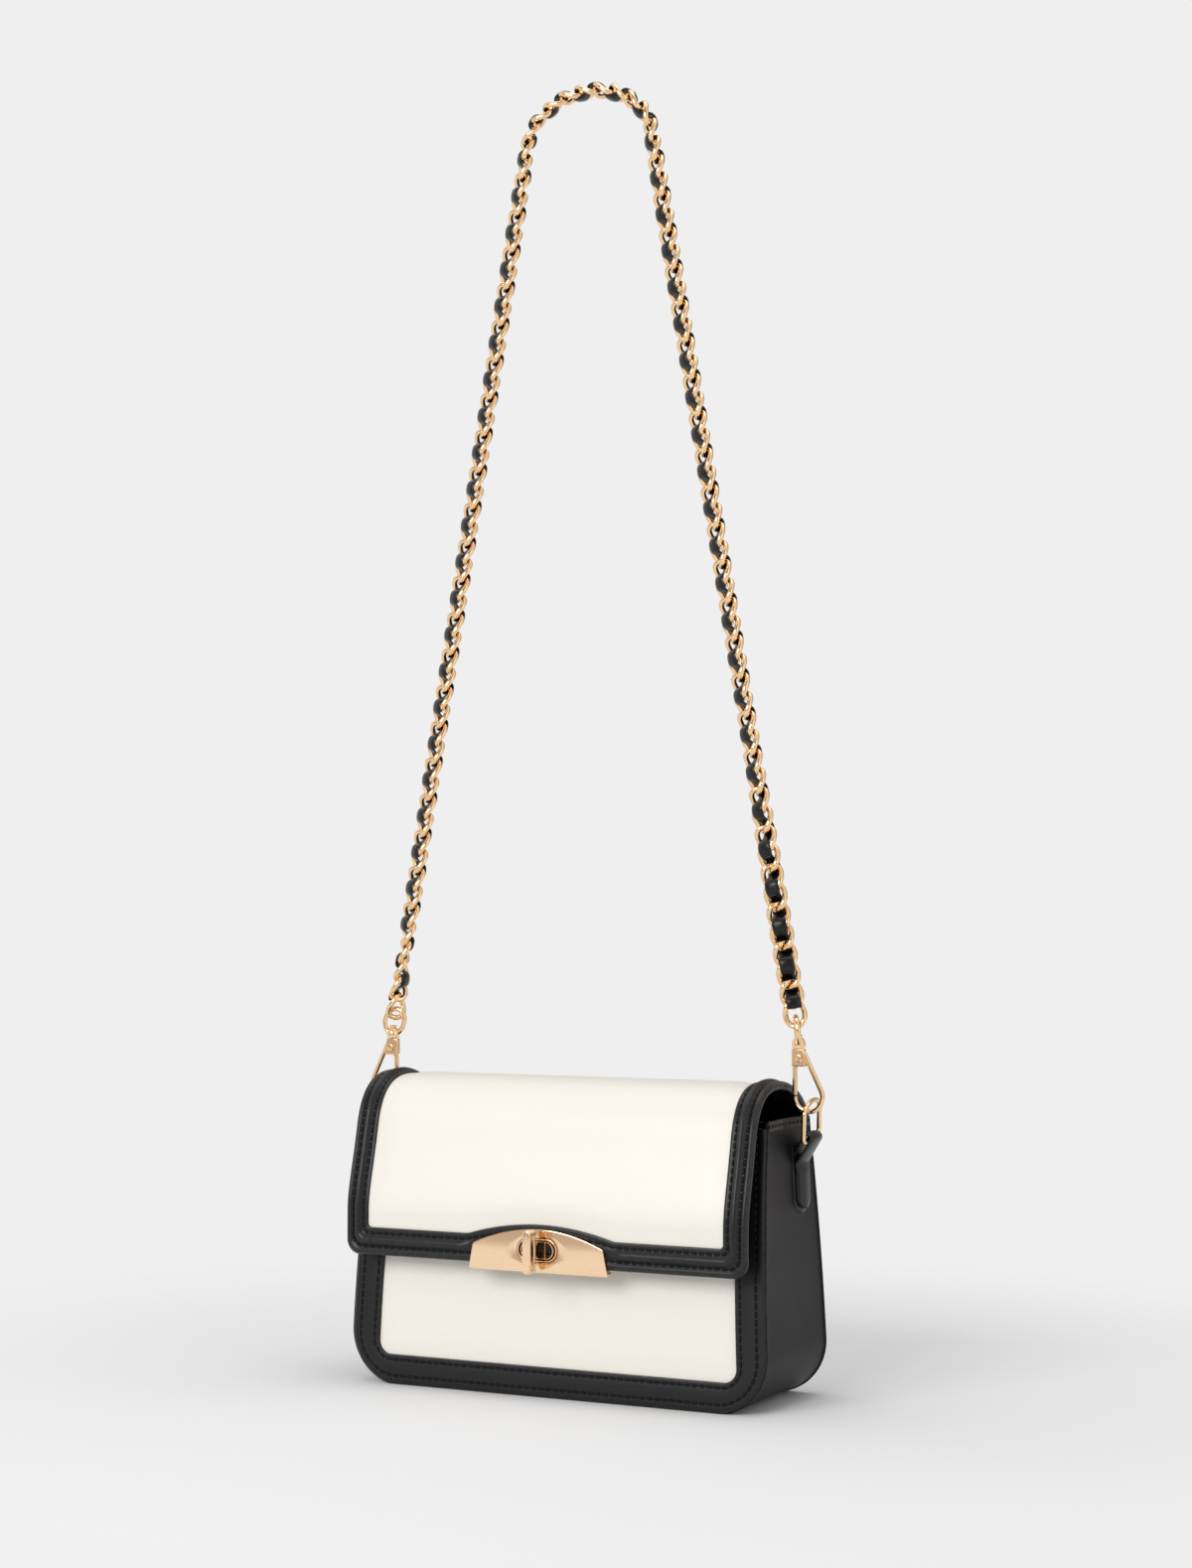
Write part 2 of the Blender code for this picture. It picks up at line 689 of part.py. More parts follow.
def build_lock(surfaces, flap_pieces, hinge, stem):
    """The plate, the leaf behind the flap, the dial in the window and the turning knob."""
    at = lock_places()
    flat = lambda name: lambda z: at[name]
    gold = surfaces["gold"]
    front = slab("lock_plate_front", plate_outline(0), flat("plate_front"), flat("plate_back"), gold, hinge)
    leaf = slab(
        "lock_plate_back", plate_outline(PLATE_THICK), flat("leaf_front"), flat("leaf_back"), gold, hinge
    )
    window = slab(
        "lock_window",
        oval(LOCK_HEIGHT, WINDOW_WIDTH, WINDOW_TALL),
        lambda z: at["plate_front"] - OVERRUN,
        lambda z: at["leaf_front"] - SEAT / 2,
        gold,
    )
    for piece in [front, *flap_pieces]:
        combine(piece, window, "DIFFERENCE")
    dial = slab(
        "lock_dial",
        oval(LOCK_HEIGHT, WINDOW_WIDTH - 2 * SEAT, WINDOW_TALL - 2 * SEAT),
        flat("dial_front"),
        flat("dial_back"),
        gold,
        hinge,
    )
    bore = turned(
        "stem_bore",
        [(at["dial_front"] - OVERRUN, STEM_RADIUS + SEAT), (at["leaf_back"] + OVERRUN, STEM_RADIUS + SEAT)],
        (0, 0, LOCK_HEIGHT),
        (0, 1, 0),
        gold,
    )
    combine(dial, bore, "DIFFERENCE")
    combine(leaf, bore, "DIFFERENCE")
    knob = slab(
        "lock_toggle",
        [(z - LOCK_HEIGHT, x + LOCK_HEIGHT) for x, z in oval(LOCK_HEIGHT, KNOB_TALL, KNOB_WIDE)],
        flat("knob_front"),
        flat("knob_back"),
        gold,
        stem,
    )
    soften = knob.modifiers.new("round", "BEVEL")
    soften.width = KNOB_ROUND
    soften.segments = 2
    soften.limit_method = "ANGLE"
    shaft = turned(
        "lock_stem",
        [(at["knob_back"] - SEAT, STEM_RADIUS), (at["tail_back"], STEM_RADIUS)],
        (0, 0, LOCK_HEIGHT),
        (0, 1, 0),
        gold,
    )
    half_wide, half_long = TAIL_WIDE / 2, TAIL_LONG / 2
    bar = [
        (half_wide, LOCK_HEIGHT - half_long),
        (half_wide, LOCK_HEIGHT + half_long),
        (-half_wide, LOCK_HEIGHT + half_long),
        (-half_wide, LOCK_HEIGHT - half_long),
    ]
    tail = slab("lock_tail", bar, flat("tail_front"), flat("tail_back"), gold)
    combine(shaft, tail, "UNION")
    combine(knob, shaft, "UNION")


def build_keeper(surfaces, panel, board):
    """The cup on the bag's front that the tail turns in, its stud and the washer inside.

    Its slot is open at the top, because the tail rises as it comes out with the lifting flap.
    """
    at = lock_places()
    gold = surfaces["gold"]
    seat = front_plane(PANEL_FACE - SEAT)
    cavity_radius = math.hypot(TAIL_LONG, TAIL_WIDE) / 2 + 2 * RUNNING
    floor = at["tail_back"] + KEEPER_FLOOR_GAP
    circle = arc((0, LOCK_HEIGHT), KEEPER_RADIUS, 0, 360, 3 * ARC_STEPS)[:-1]
    cup = slab("lock_keeper", circle, lambda z: at["keeper_front"], seat, gold)
    hollow = turned(
        "keeper_hollow",
        [(at["keeper_front"] + KEEPER_FACE, cavity_radius), (floor, cavity_radius)],
        (0, 0, LOCK_HEIGHT),
        (0, 1, 0),
        gold,
        sides=24,
    )
    half_wide = TAIL_WIDE / 2 + RUNNING
    low, high = LOCK_HEIGHT - TAIL_LONG / 2 - 2 * RUNNING, LOCK_HEIGHT + KEEPER_RADIUS + OVERRUN
    slot_outline = [(half_wide, low), (half_wide, high), (-half_wide, high), (-half_wide, low)]
    slot = slab("keeper_slot", slot_outline, lambda z: at["keeper_front"] - OVERRUN, lambda z: floor, gold)
    combine(slot, hollow, "UNION")
    combine(cup, slot, "DIFFERENCE")
    inside = front_plane(LINING_FACE)(LOCK_HEIGHT) + WASHER_THICK
    stud = turned(
        "keeper_stud",
        [(seat(LOCK_HEIGHT) - KEEPER_WALL, STUD_RADIUS), (inside, STUD_RADIUS)],
        (0, 0, LOCK_HEIGHT),
        (0, 1, 0),
        gold,
    )
    combine(cup, stud, "UNION")
    hole = turned(
        "stud_hole",
        [(seat(LOCK_HEIGHT) - OVERRUN, STUD_RADIUS + SEAT), (inside + OVERRUN, STUD_RADIUS + SEAT)],
        (0, 0, LOCK_HEIGHT),
        (0, 1, 0),
        gold,
    )
    ring = arc((0, LOCK_HEIGHT), WASHER_RADIUS, 0, 360, 3 * ARC_STEPS)[:-1]
    washer = slab(
        "lock_washer", ring, front_plane(LINING_FACE), front_plane(LINING_FACE + WASHER_THICK), gold
    )
    for piece in (panel, board, washer):
        combine(piece, hole, "DIFFERENCE")
    pocket = slab(
        "washer_pocket",
        arc((0, LOCK_HEIGHT), WASHER_RADIUS + SEAT, 0, 360, 3 * ARC_STEPS)[:-1],
        front_plane(LINING_FACE - SEAT),
        front_plane(LINING_FACE + LINING_THICK + OVERRUN),
        gold,
    )
    combine(bpy.data.objects["lining"], pocket, "DIFFERENCE")


def ring_contact():
    """X and Z of the D ring's wire where its arc crosses the strap's plane."""
    along, up = ring_directions(1)
    base = Vector((RING_BAR_ACROSS, RING_BACK, RING_BAR_HEIGHT))
    leg = RING_TALL - RING_ARC_TALL
    low, high = math.pi / 2, math.pi
    for _ in range(40):
        turn = (low + high) / 2
        rise = leg + RING_ARC_TALL * math.sin(turn)
        spot = base + along * (RING_HALF_WIDE * math.cos(turn)) + up * rise
        low, high = (turn, high) if spot.y > STRAP_BACK else (low, turn)
    return spot.x, spot.z


# the hook hangs on the ring, so its places follow from the ring's
HOOK_BOW_ACROSS, RING_CONTACT_HEIGHT = ring_contact()
HOOK_BOW_HEIGHT = RING_CONTACT_HEIGHT - HOOK_PLAY - 2 * WIRE_RADIUS + HOOK_BOW_RADIUS
BLOCK_BOTTOM = HOOK_BOW_HEIGHT + HOOK_THROAT
BLOCK_TOP = BLOCK_BOTTOM + BLOCK_TALL
GATE_ACROSS = HOOK_BOW_ACROSS - HOOK_BOW_RADIUS
BLOCK_INNER = GATE_ACROSS - WIRE_RADIUS - BLOCK_LIP
BLOCK_SHOULDER = BLOCK_INNER + BLOCK_TOP_WIDE
POST_ACROSS = (BLOCK_INNER + BLOCK_SHOULDER) / 2
RIVET_ACROSS = GATE_ACROSS + RIVET_OUTSET
RIVET_HEIGHT = BLOCK_BOTTOM + RIVET_UP


def build_ring(side, sign, surfaces):
    """A D ring: its bar in the tab, two legs and an arc, leaning out and tipped forward."""
    pivot = joint_empty(f"ring_pivot_{side}", (sign * RING_BAR_ACROSS, RING_BACK, RING_BAR_HEIGHT))
    along, up = ring_directions(sign)
    leg = RING_TALL - RING_ARC_TALL
    corner = arc((RING_HALF_WIDE - RING_CORNER, RING_CORNER), RING_CORNER, -90, 0, 2)
    turns = [math.radians(180 * k / (2 * ARC_STEPS - 2)) for k in range(2 * ARC_STEPS - 1)]
    top = [(RING_HALF_WIDE * math.cos(t), leg + RING_ARC_TALL * math.sin(t)) for t in turns]
    loop = corner + top + [(-a, b) for a, b in reversed(corner)]
    base = Vector((sign * RING_BAR_ACROSS, RING_BACK, RING_BAR_HEIGHT))
    points = [base + along * a + up * b for a, b in loop]
    normal = up.cross(along)
    wire(f"d_ring_{side}", points, normal, WIRE_RADIUS, surfaces["gold"], pivot, cyclic=True)


def hook_points(sign):
    """The hook's wire from inside the block, down the slant and round the bow to its nose."""
    slant = math.radians(HOOK_SLANT)
    center = Vector((HOOK_BOW_ACROSS, HOOK_BOW_HEIGHT))
    foot = center + HOOK_BOW_RADIUS * Vector((math.cos(slant), math.sin(slant)))
    top = BLOCK_TOP - WIRE_RADIUS
    head = (foot.x - (top - foot.y) * math.tan(slant), top)
    bow = arc(center, HOOK_BOW_RADIUS, HOOK_SLANT, -180, 2 * ARC_STEPS)
    return [(sign * x, STRAP_BACK, z) for x, z in [head] + bow]


def build_hook(side, sign, surfaces, pivot):
    """The hook's block and wire, its post, the slot for the gate's tongue and the rivet's bore."""
    gold = surfaces["gold"]
    half = BLOCK_THICK / 2
    near = lambda z: STRAP_BACK - half
    far = lambda z: STRAP_BACK + half
    outline = [
        (BLOCK_INNER, BLOCK_BOTTOM),
        (BLOCK_SHOULDER + BLOCK_FLARE, BLOCK_BOTTOM),
        (BLOCK_SHOULDER, BLOCK_TOP),
        (BLOCK_INNER, BLOCK_TOP),
    ]
    hook = slab(f"hook_{side}", [(sign * x, z) for x, z in outline], near, far, gold, pivot)
    bow = wire(f"hook_wire_{side}", hook_points(sign), (0, 1, 0), WIRE_RADIUS, gold)
    combine(hook, bow, "UNION")
    axis = (sign * POST_ACROSS, STRAP_BACK, 0)
    head = BLOCK_TOP + SEAT + COLLAR_TALL + SEAT
    post = turned(
        f"hook_post_{side}",
        [
            (BLOCK_TOP - WIRE_RADIUS, POST_RADIUS),
            (head, POST_RADIUS),
            (head, POST_HEAD_RADIUS),
            (head + POST_HEAD_THICK, POST_HEAD_RADIUS),
        ],
        axis,
        (0, 0, 1),
        gold,
        sides=10,
    )
    combine(hook, post, "UNION")
    gap = TONGUE_THICK / 2 + SEAT
    roof = RIVET_HEIGHT + TONGUE_RADIUS + SPRING_THICK + 2 * SEAT
    wide = TONGUE_RADIUS + 2 * RUNNING
    slot_outline = [
        (BLOCK_INNER - OVERRUN, BLOCK_BOTTOM - OVERRUN),
        (RIVET_ACROSS + wide, BLOCK_BOTTOM - OVERRUN),
        (RIVET_ACROSS + wide, roof),
        (BLOCK_INNER - OVERRUN, roof),
    ]
    slot = slab(
        f"hook_slot_{side}",
        [(sign * x, z) for x, z in slot_outline],
        lambda z: STRAP_BACK - gap,
        lambda z: STRAP_BACK + gap,
        gold,
    )
    combine(hook, slot, "DIFFERENCE")
    pin_at = (sign * RIVET_ACROSS, STRAP_BACK, RIVET_HEIGHT)
    bore = turned(
        f"rivet_bore_{side}",
        [(-half - OVERRUN, RIVET_RADIUS + SEAT), (half + OVERRUN, RIVET_RADIUS + SEAT)],
        pin_at,
        (0, 1, 0),
        gold,
        sides=10,
    )
    combine(hook, bore, "DIFFERENCE")
    shank = half + SEAT
    turned(
        f"rivet_{side}",
        [
            (-shank - RIVET_HEAD_THICK, RIVET_HEAD_RADIUS),
            (-shank, RIVET_HEAD_RADIUS),
            (-shank, RIVET_RADIUS),
            (shank, RIVET_RADIUS),
            (shank, RIVET_HEAD_RADIUS),
            (shank + RIVET_HEAD_THICK, RIVET_HEAD_RADIUS),
        ],
        pin_at,
        (0, 1, 0),
        gold,
        pivot,
        sides=12,
    )
    under = roof - SEAT
    reach = SPRING_LONG / 2
    leaf = [
        (RIVET_ACROSS - reach, under - SPRING_THICK),
        (RIVET_ACROSS + reach - SEAT, under - SPRING_THICK),
        (RIVET_ACROSS + reach - SEAT, under),
        (RIVET_ACROSS - reach, under),
    ]
    slab(
        f"gate_spring_{side}",
        [(sign * x, z) for x, z in leaf],
        lambda z: STRAP_BACK - TONGUE_THICK / 2,
        lambda z: STRAP_BACK + TONGUE_THICK / 2,
        surfaces["steel"],
        pivot,
    )
    return bore


def build_gate(side, sign, surfaces, bore):
    """The sprung gate: a round bar that closes the hook, with a flat tongue on the rivet."""
    gold = surfaces["gold"]
    pivot = joint_empty(f"gate_pivot_{side}", (sign * RIVET_ACROSS, STRAP_BACK, RIVET_HEIGHT))
    low, high = HOOK_BOW_HEIGHT + GATE_GAP, BLOCK_BOTTOM - RUNNING
    bar = turned(
        f"gate_{side}",
        [(low, WIRE_RADIUS), (high, WIRE_RADIUS)],
        (sign * GATE_ACROSS, STRAP_BACK, 0),
        (0, 0, 1),
        gold,
        pivot,
        sides=10,
    )
    round_top = arc((RIVET_ACROSS, RIVET_HEIGHT), TONGUE_RADIUS, 0, 180, ARC_STEPS)
    foot, half = high - WIRE_RADIUS, WIRE_RADIUS / 2
    outline = [(GATE_ACROSS - half, foot), (GATE_ACROSS + half, foot)] + round_top
    tongue = slab(
        f"gate_tongue_{side}",
        [(sign * x, z) for x, z in outline],
        lambda z: STRAP_BACK - TONGUE_THICK / 2,
        lambda z: STRAP_BACK + TONGUE_THICK / 2,
        gold,
    )
    combine(bar, tongue, "UNION")
    combine(bar, bore, "DIFFERENCE")


def eye_up(sign):
    """The direction from the collar to the eye's top, which leans in with the strap."""
    lean = math.radians(EYE_LEAN)
    return Vector((-sign * math.sin(lean), 0, math.cos(lean)))


def eye_foot(sign):
    """The middle of the eye's wire where it joins the collar."""
    return Vector((sign * POST_ACROSS, STRAP_BACK, BLOCK_TOP + SEAT + EYE_SEAT))


def build_eye(side, sign, turn, surfaces, pivot):
    """The swivel's collar and its oval eye."""
    gold = surfaces["gold"]
    base = BLOCK_TOP + SEAT
    axis = (sign * POST_ACROSS, STRAP_BACK, 0)
    collar = turned(
        f"swivel_eye_{side}",
        [
            (base, COLLAR_RADIUS),
            (base + COLLAR_TALL / 2, COLLAR_RADIUS),
            (base + COLLAR_TALL, COLLAR_TOP_RADIUS),
        ],
        axis,
        (0, 0, 1),
        gold,
        pivot,
        sides=14,
    )
    across = Vector((math.cos(math.radians(turn)), math.sin(math.radians(turn)), 0))
    up = eye_up(sign)
    middle = eye_foot(sign) + up * EYE_HALF_TALL
    turns = [2 * math.pi * k / (2 * ARC_STEPS) for k in range(2 * ARC_STEPS)]
    loop = [middle + across * EYE_HALF_WIDE * math.cos(t) + up * EYE_HALF_TALL * math.sin(t) for t in turns]
    ring = wire(f"eye_wire_{side}", loop, across.cross(up), EYE_WIRE_RADIUS, gold, cyclic=True)
    combine(collar, ring, "UNION")
    clear = POST_RADIUS + SEAT
    bore = turned(
        f"eye_bore_{side}",
        [
            (base - OVERRUN, clear),
            (base + COLLAR_TALL, clear),
            (base + COLLAR_TALL, POST_HEAD_RADIUS + SEAT),
            (base + COLLAR_TALL + 2 * SEAT + POST_HEAD_THICK, POST_HEAD_RADIUS + SEAT),
        ],
        axis,
        (0, 0, 1),
        gold,
        sides=10,
    )
    combine(collar, bore, "DIFFERENCE")


def chain_line():
    """The strap's centre line in X and Z, left eye to right eye: a leg, an arch and a leg."""
    below = EYE_WIRE_RADIUS + 2 * SEAT + CHAIN_WIRE / 2
    start = eye_foot(1) + eye_up(1) * (2 * EYE_HALF_TALL - below)
    crown_base = start.z + STRAP_RISE
    squeeze = CROWN_HALF_WIDE / CROWN_RISE
    far = Vector((start.x, -STRAP_RISE * squeeze))
    touch = math.atan2(far.y, far.x) + math.acos(CROWN_HALF_WIDE / far.length)
    steps = 4 * ARC_STEPS
    turns = [touch + (math.pi / 2 - touch) * k / steps for k in range(steps + 1)]
    arch = [
        Vector((CROWN_HALF_WIDE * math.cos(t), crown_base + CROWN_RISE * math.sin(t))) for t in turns
    ]
    right = [Vector((start.x, start.z))] + arch
    return [Vector((-p.x, p.y)) for p in right[:-1]] + list(reversed(right))


CHAIN_LINE = chain_line()
CHAIN_DISTANCES = lengths_along(CHAIN_LINE)
CHAIN_LENGTH = CHAIN_DISTANCES[-1]
LINKS = round(CHAIN_LENGTH / CHAIN_PITCH)
PITCH = CHAIN_LENGTH / LINKS


def smooth_share(share):
    share = min(max(share, 0), 1)
    return share * share * (3 - 2 * share)


def chain_frame(distance):
    """The place on the strap's line, the direction across the chain's width and its face's."""
    last = len(CHAIN_LINE) - 2
    k = next((i for i in range(last) if CHAIN_DISTANCES[i + 1] >= distance), last)
    step = (CHAIN_LINE[k + 1] - CHAIN_LINE[k]).normalized()
    spot = CHAIN_LINE[k] + step * (distance - CHAIN_DISTANCES[k])
    outward = Vector((-step.y, 0, step.x))
    over = smooth_share((distance / CHAIN_LENGTH - 0.5) / CROWN_SHARE + 0.5)
    left = smooth_share(1 - distance / TWIST_RUN) * (TWIST_LEFT - LEG_TURN)
    right = smooth_share(1 - (CHAIN_LENGTH - distance) / TWIST_RUN) * (TWIST_RIGHT + LEG_TURN)
    twist = math.radians(LEG_TURN * (1 - 2 * over) + left + right)
    back = Vector((0, 1, 0))
    across = back * math.cos(twist) + outward * math.sin(twist)
    face = outward * math.cos(twist) - back * math.sin(twist)
    return Vector((spot.x, STRAP_BACK, spot.y)), across, face


def build_chain(name, first, last, surface, parent):
    """Curb links first to last as one ladder: two rows of wire and a rung where links cross."""
    half = CHAIN_WIRE / 2
    start = first * PITCH - half if first == 0 else (first - 1) * PITCH + half + SEAT
    rows = [start]
    for k in range(first, last + 1):
        rows += [d for d in (k * PITCH - half, k * PITCH + half) if d > start]
    rungs = {j for j in range(len(rows) - 1) if abs((rows[j] + rows[j + 1]) / 2 / PITCH % 1 - 0.5) > 0.4}
    outer, inner = CHAIN_WIDE / 2, CHAIN_WIDE / 2 - CHAIN_WIRE
    grids = []
    for offset in (-half, half):
        grid = []
        for place in (-outer, -inner, inner, outer):
            frames = [chain_frame(d) for d in rows]
            grid.append([spot + across * place + face * offset for spot, across, face in frames])
        grids.append(grid)
    sheet(name, *grids, lambda i, j: i != 1 or j in rungs, surface, parent)


def build_lace(surface, parent):
    """The leather lace, over one rung and under the next from end to end."""
    height = CHAIN_WIRE / 2 + SEAT + LACE_THICK / 2 + RUNNING / 2
    rows = []
    for k in range(1, LINKS):
        side = 1 if k % 2 else -1
        rows += [(k * PITCH - LACE_FLAT, side * height), (k * PITCH + LACE_FLAT, side * height)]
    grids = []
    for layer in (-LACE_THICK / 2, LACE_THICK / 2):
        grid = []
        for place in (-LACE_WIDE / 2, LACE_WIDE / 2):
            column = []
            for distance, lift in rows:
                spot, across, face = chain_frame(distance)
                column.append(spot + across * place + face * (lift + layer))
            grid.append(column)
        grids.append(grid)
    sheet("strap_lace", *grids, lambda i, j: True, surface, parent)


def build_strap(surfaces):
    """The chain in three runs, its lace, the eyes, and the hooks with their gates."""
    swing = joint_empty("strap_pivot", (0, STRAP_BACK, HOOK_BOW_HEIGHT - HOOK_BOW_RADIUS))
    leg = (LINKS - CROWN_LINKS) // 2
    gold = surfaces["gold"]
    build_chain("chain_left", 0, leg, gold, swing)
    build_chain("chain_crown", leg + 1, LINKS - leg - 1, gold, swing)
    build_chain("chain_right", LINKS - leg, LINKS, gold, swing)
    build_lace(surfaces["lace"], swing)
    for (side, sign), turn in zip(SIDES, (EYE_TURN_LEFT, EYE_TURN_RIGHT)):
        build_eye(side, sign, turn, surfaces, swing)
        swivel = joint_empty(f"swivel_pivot_{side}", (sign * POST_ACROSS, STRAP_BACK, BLOCK_TOP))
        bore = build_hook(side, sign, surfaces, swivel)
        build_gate(side, sign, surfaces, bore)
        build_ring(side, sign, surfaces)


def build_bag():
    surfaces = {
        "cream": material("cream_leather", (0.87, 0.84, 0.76), 0.42, 0),
        "black": material("black_leather", (0.012, 0.012, 0.013), 0.38, 0),
        "lace": material("lace_leather", (0.010, 0.010, 0.011), 0.30, 0),
        "lining": material("black_lining", (0.03, 0.03, 0.032), 0.85, 0),
        "board": material("grey_board", (0.32, 0.30, 0.27), 0.90, 0),
        "gold": material("light_gold", (0.83, 0.62, 0.38), 0.18, 1),
        "steel": material("spring_steel", (0.50, 0.50, 0.50), 0.30, 1),
    }
    front = build_panel_stack("front", front_plane, FRONT_HEIGHT, surfaces)
    build_panel_stack("back", back_plane, FLAP_SEAM_HEIGHT - SEAT / 2, surfaces)
    build_gusset(surfaces)
    build_lining(surfaces)
    build_bindings(surfaces)
    build_tabs(surfaces)
    lift_axis = flap_spot(0, FLAP_PROUD)
    fold_axis = flap_spot(FOLD_AT, FLAP_PROUD)
    lift = joint_empty("flap_lift_pivot", (0, lift_axis.x, lift_axis.y))
    fold = joint_empty("flap_fold_pivot", (0, fold_axis.x, fold_axis.y))
    build_flap_top(surfaces, lift)
    pieces = build_flap_front(surfaces, fold)
    stem = joint_empty("toggle_pivot", (0, FLAP_FRONT_BACK, LOCK_HEIGHT))
    build_lock(surfaces, pieces, fold, stem)
    build_keeper(surfaces, *front)
    build_strap(surfaces)


clear_scene()
build_bag()
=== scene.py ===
# %% [markdown]
# # A structured flap bag on a chain strap
# This lesson builds the look of a small box-shaped bag around its imported CAD frame. The bag is cream
# leather edged in black, closed by a turn lock, and it hangs from a curb chain laced with leather.
# The frame gives every moving body a name, so most pieces that we make here ride on one of them.
# %% Load the frame
import json
from math import acos, atan2, copysign, cos, pi, radians, sin, sqrt, tan, tanh

import bmesh
import bpy
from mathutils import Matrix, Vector

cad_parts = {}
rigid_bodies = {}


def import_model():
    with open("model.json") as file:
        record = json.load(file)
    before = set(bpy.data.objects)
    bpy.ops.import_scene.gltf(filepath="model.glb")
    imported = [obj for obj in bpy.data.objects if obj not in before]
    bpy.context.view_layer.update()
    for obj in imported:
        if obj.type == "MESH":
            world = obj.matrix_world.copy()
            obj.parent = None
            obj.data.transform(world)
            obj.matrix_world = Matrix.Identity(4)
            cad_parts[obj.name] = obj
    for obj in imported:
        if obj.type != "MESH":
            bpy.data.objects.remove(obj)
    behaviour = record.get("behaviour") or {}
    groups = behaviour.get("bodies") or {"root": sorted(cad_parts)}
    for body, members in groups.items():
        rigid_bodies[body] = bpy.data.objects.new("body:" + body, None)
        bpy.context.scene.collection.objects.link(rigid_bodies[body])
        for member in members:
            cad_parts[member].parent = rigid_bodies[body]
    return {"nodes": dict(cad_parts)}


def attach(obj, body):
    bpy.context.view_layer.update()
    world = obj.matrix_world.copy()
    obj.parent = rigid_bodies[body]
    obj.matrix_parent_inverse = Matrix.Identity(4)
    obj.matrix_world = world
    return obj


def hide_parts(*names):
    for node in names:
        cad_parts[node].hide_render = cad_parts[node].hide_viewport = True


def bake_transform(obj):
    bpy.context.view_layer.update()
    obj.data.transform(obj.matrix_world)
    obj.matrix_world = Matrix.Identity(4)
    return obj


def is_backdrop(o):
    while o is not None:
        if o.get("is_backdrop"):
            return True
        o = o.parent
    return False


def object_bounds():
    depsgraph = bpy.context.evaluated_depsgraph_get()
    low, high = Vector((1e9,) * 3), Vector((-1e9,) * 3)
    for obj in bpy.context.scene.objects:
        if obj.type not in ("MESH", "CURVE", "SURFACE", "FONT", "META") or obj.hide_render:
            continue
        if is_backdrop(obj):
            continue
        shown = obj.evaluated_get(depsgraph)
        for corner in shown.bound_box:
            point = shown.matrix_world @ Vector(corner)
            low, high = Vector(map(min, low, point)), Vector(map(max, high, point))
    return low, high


for old in list(bpy.data.objects):
    bpy.data.objects.remove(old, do_unlink=True)
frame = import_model()
cad_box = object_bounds()
nodes = frame["nodes"]

# %% [markdown]
# ## Camera
# A product photographer stands a little to the bag's right and just above its middle, with a long
# lens. We could aim with a Track To constraint, but three numbers for place and two for turn say
# the same and stay put.
# %% Camera
camera_data = bpy.data.cameras.new("camera")
camera_data.lens = 63.14
camera = bpy.data.objects.new("camera", camera_data)
camera.location = (0.6661, -1.2859, 0.2516)
camera.rotation_euler = (radians(92.51), 0, radians(27.19))
bpy.context.collection.objects.link(camera)
bpy.context.scene.camera = camera
bpy.context.scene.view_settings.view_transform = "Standard"
print("camera at", tuple(camera.location))

# %% [markdown]
# ## Small helpers
# Nodes are added with one call that also feeds their inputs, and every mesh is finished in one
# place: doubles merged, faces turned outwards, sharp edges found by angle.
# %% Helpers for numbers
MM = 0.001
SIDES = (("left", -1), ("right", 1))


def lerp(a, b, share):
    return a + (b - a) * share


def ease(share):
    share = min(max(share, 0), 1)
    return share * share * (3 - 2 * share)


def spaced(start, end, steps):
    return [lerp(start, end, k / steps) for k in range(steps + 1)]


def around(steps):
    return spaced(0, 2 * pi, steps)[:-1]


def arc(center, radius, start, end, steps):
    turns = [radians(a) for a in spaced(start, end, steps)]
    return [(center[0] + radius * cos(t), center[1] + radius * sin(t)) for t in turns]


def lengths(line):
    """The distance along a line at each of its points."""
    along = [0.0]
    for a, b in zip(line, line[1:]):
        along.append(along[-1] + (b - a).length)
    return along


def stretch_at(along, s):
    """Which stretch of a line a distance lies on."""
    return next((k for k in range(len(along) - 2) if along[k + 1] >= s), len(along) - 2)


# %% Helpers for node trees
def node(tree, kind, feeds=(), give=0, **settings):
    """Add a node, feed its inputs with numbers or sockets, and return one output (or the node)."""
    made = tree.nodes.new(kind)
    for key, value in settings.items():
        setattr(made, key, value)
    for key, value in dict(feeds).items():
        socket = made.inputs[key]
        if isinstance(value, bpy.types.NodeSocket):
            tree.links.new(value, socket)
        else:
            socket.default_value = value
    return made if give is None else made.outputs[give]


def maths(tree, operation, *values):
    return node(tree, "ShaderNodeMath", dict(enumerate(values)), operation=operation)


def noise(tree, where, scale, detail=2.0, give="Fac"):
    return node(tree, "ShaderNodeTexNoise", {"Vector": where, "Scale": scale, "Detail": detail}, give)


def ranged(tree, value, low, high, to=(0, 1), curve="LINEAR"):
    feeds = {"Value": value, "From Min": low, "From Max": high, "To Min": to[0], "To Max": to[1]}
    return node(tree, "ShaderNodeMapRange", feeds, interpolation_type=curve)


def mix_color(tree, share, a, b):
    return node(tree, "ShaderNodeMix", {0: share, 6: a, 7: b}, 2, data_type="RGBA")


def new_group(name, kind, takes, gives):
    """A node group with named sockets; returns it with what it takes in."""
    group = bpy.data.node_groups.new(name, kind + "NodeTree")
    for sockets, way in ((takes, "INPUT"), (gives, "OUTPUT")):
        for label, sort in sockets.items():
            group.interface.new_socket(name=label, in_out=way, socket_type="NodeSocket" + sort)
    return group, node(group, "NodeGroupInput", give=None).outputs


def give_out(group, **feeds):
    node(group, "NodeGroupOutput", feeds, None)


# %% Helpers for meshes
def as_object(name, data, surface=None):
    data.name = name
    if surface:
        data.materials.clear()
        data.materials.append(surface)
    made = bpy.data.objects.new(name, data)
    bpy.context.collection.objects.link(made)
    return made


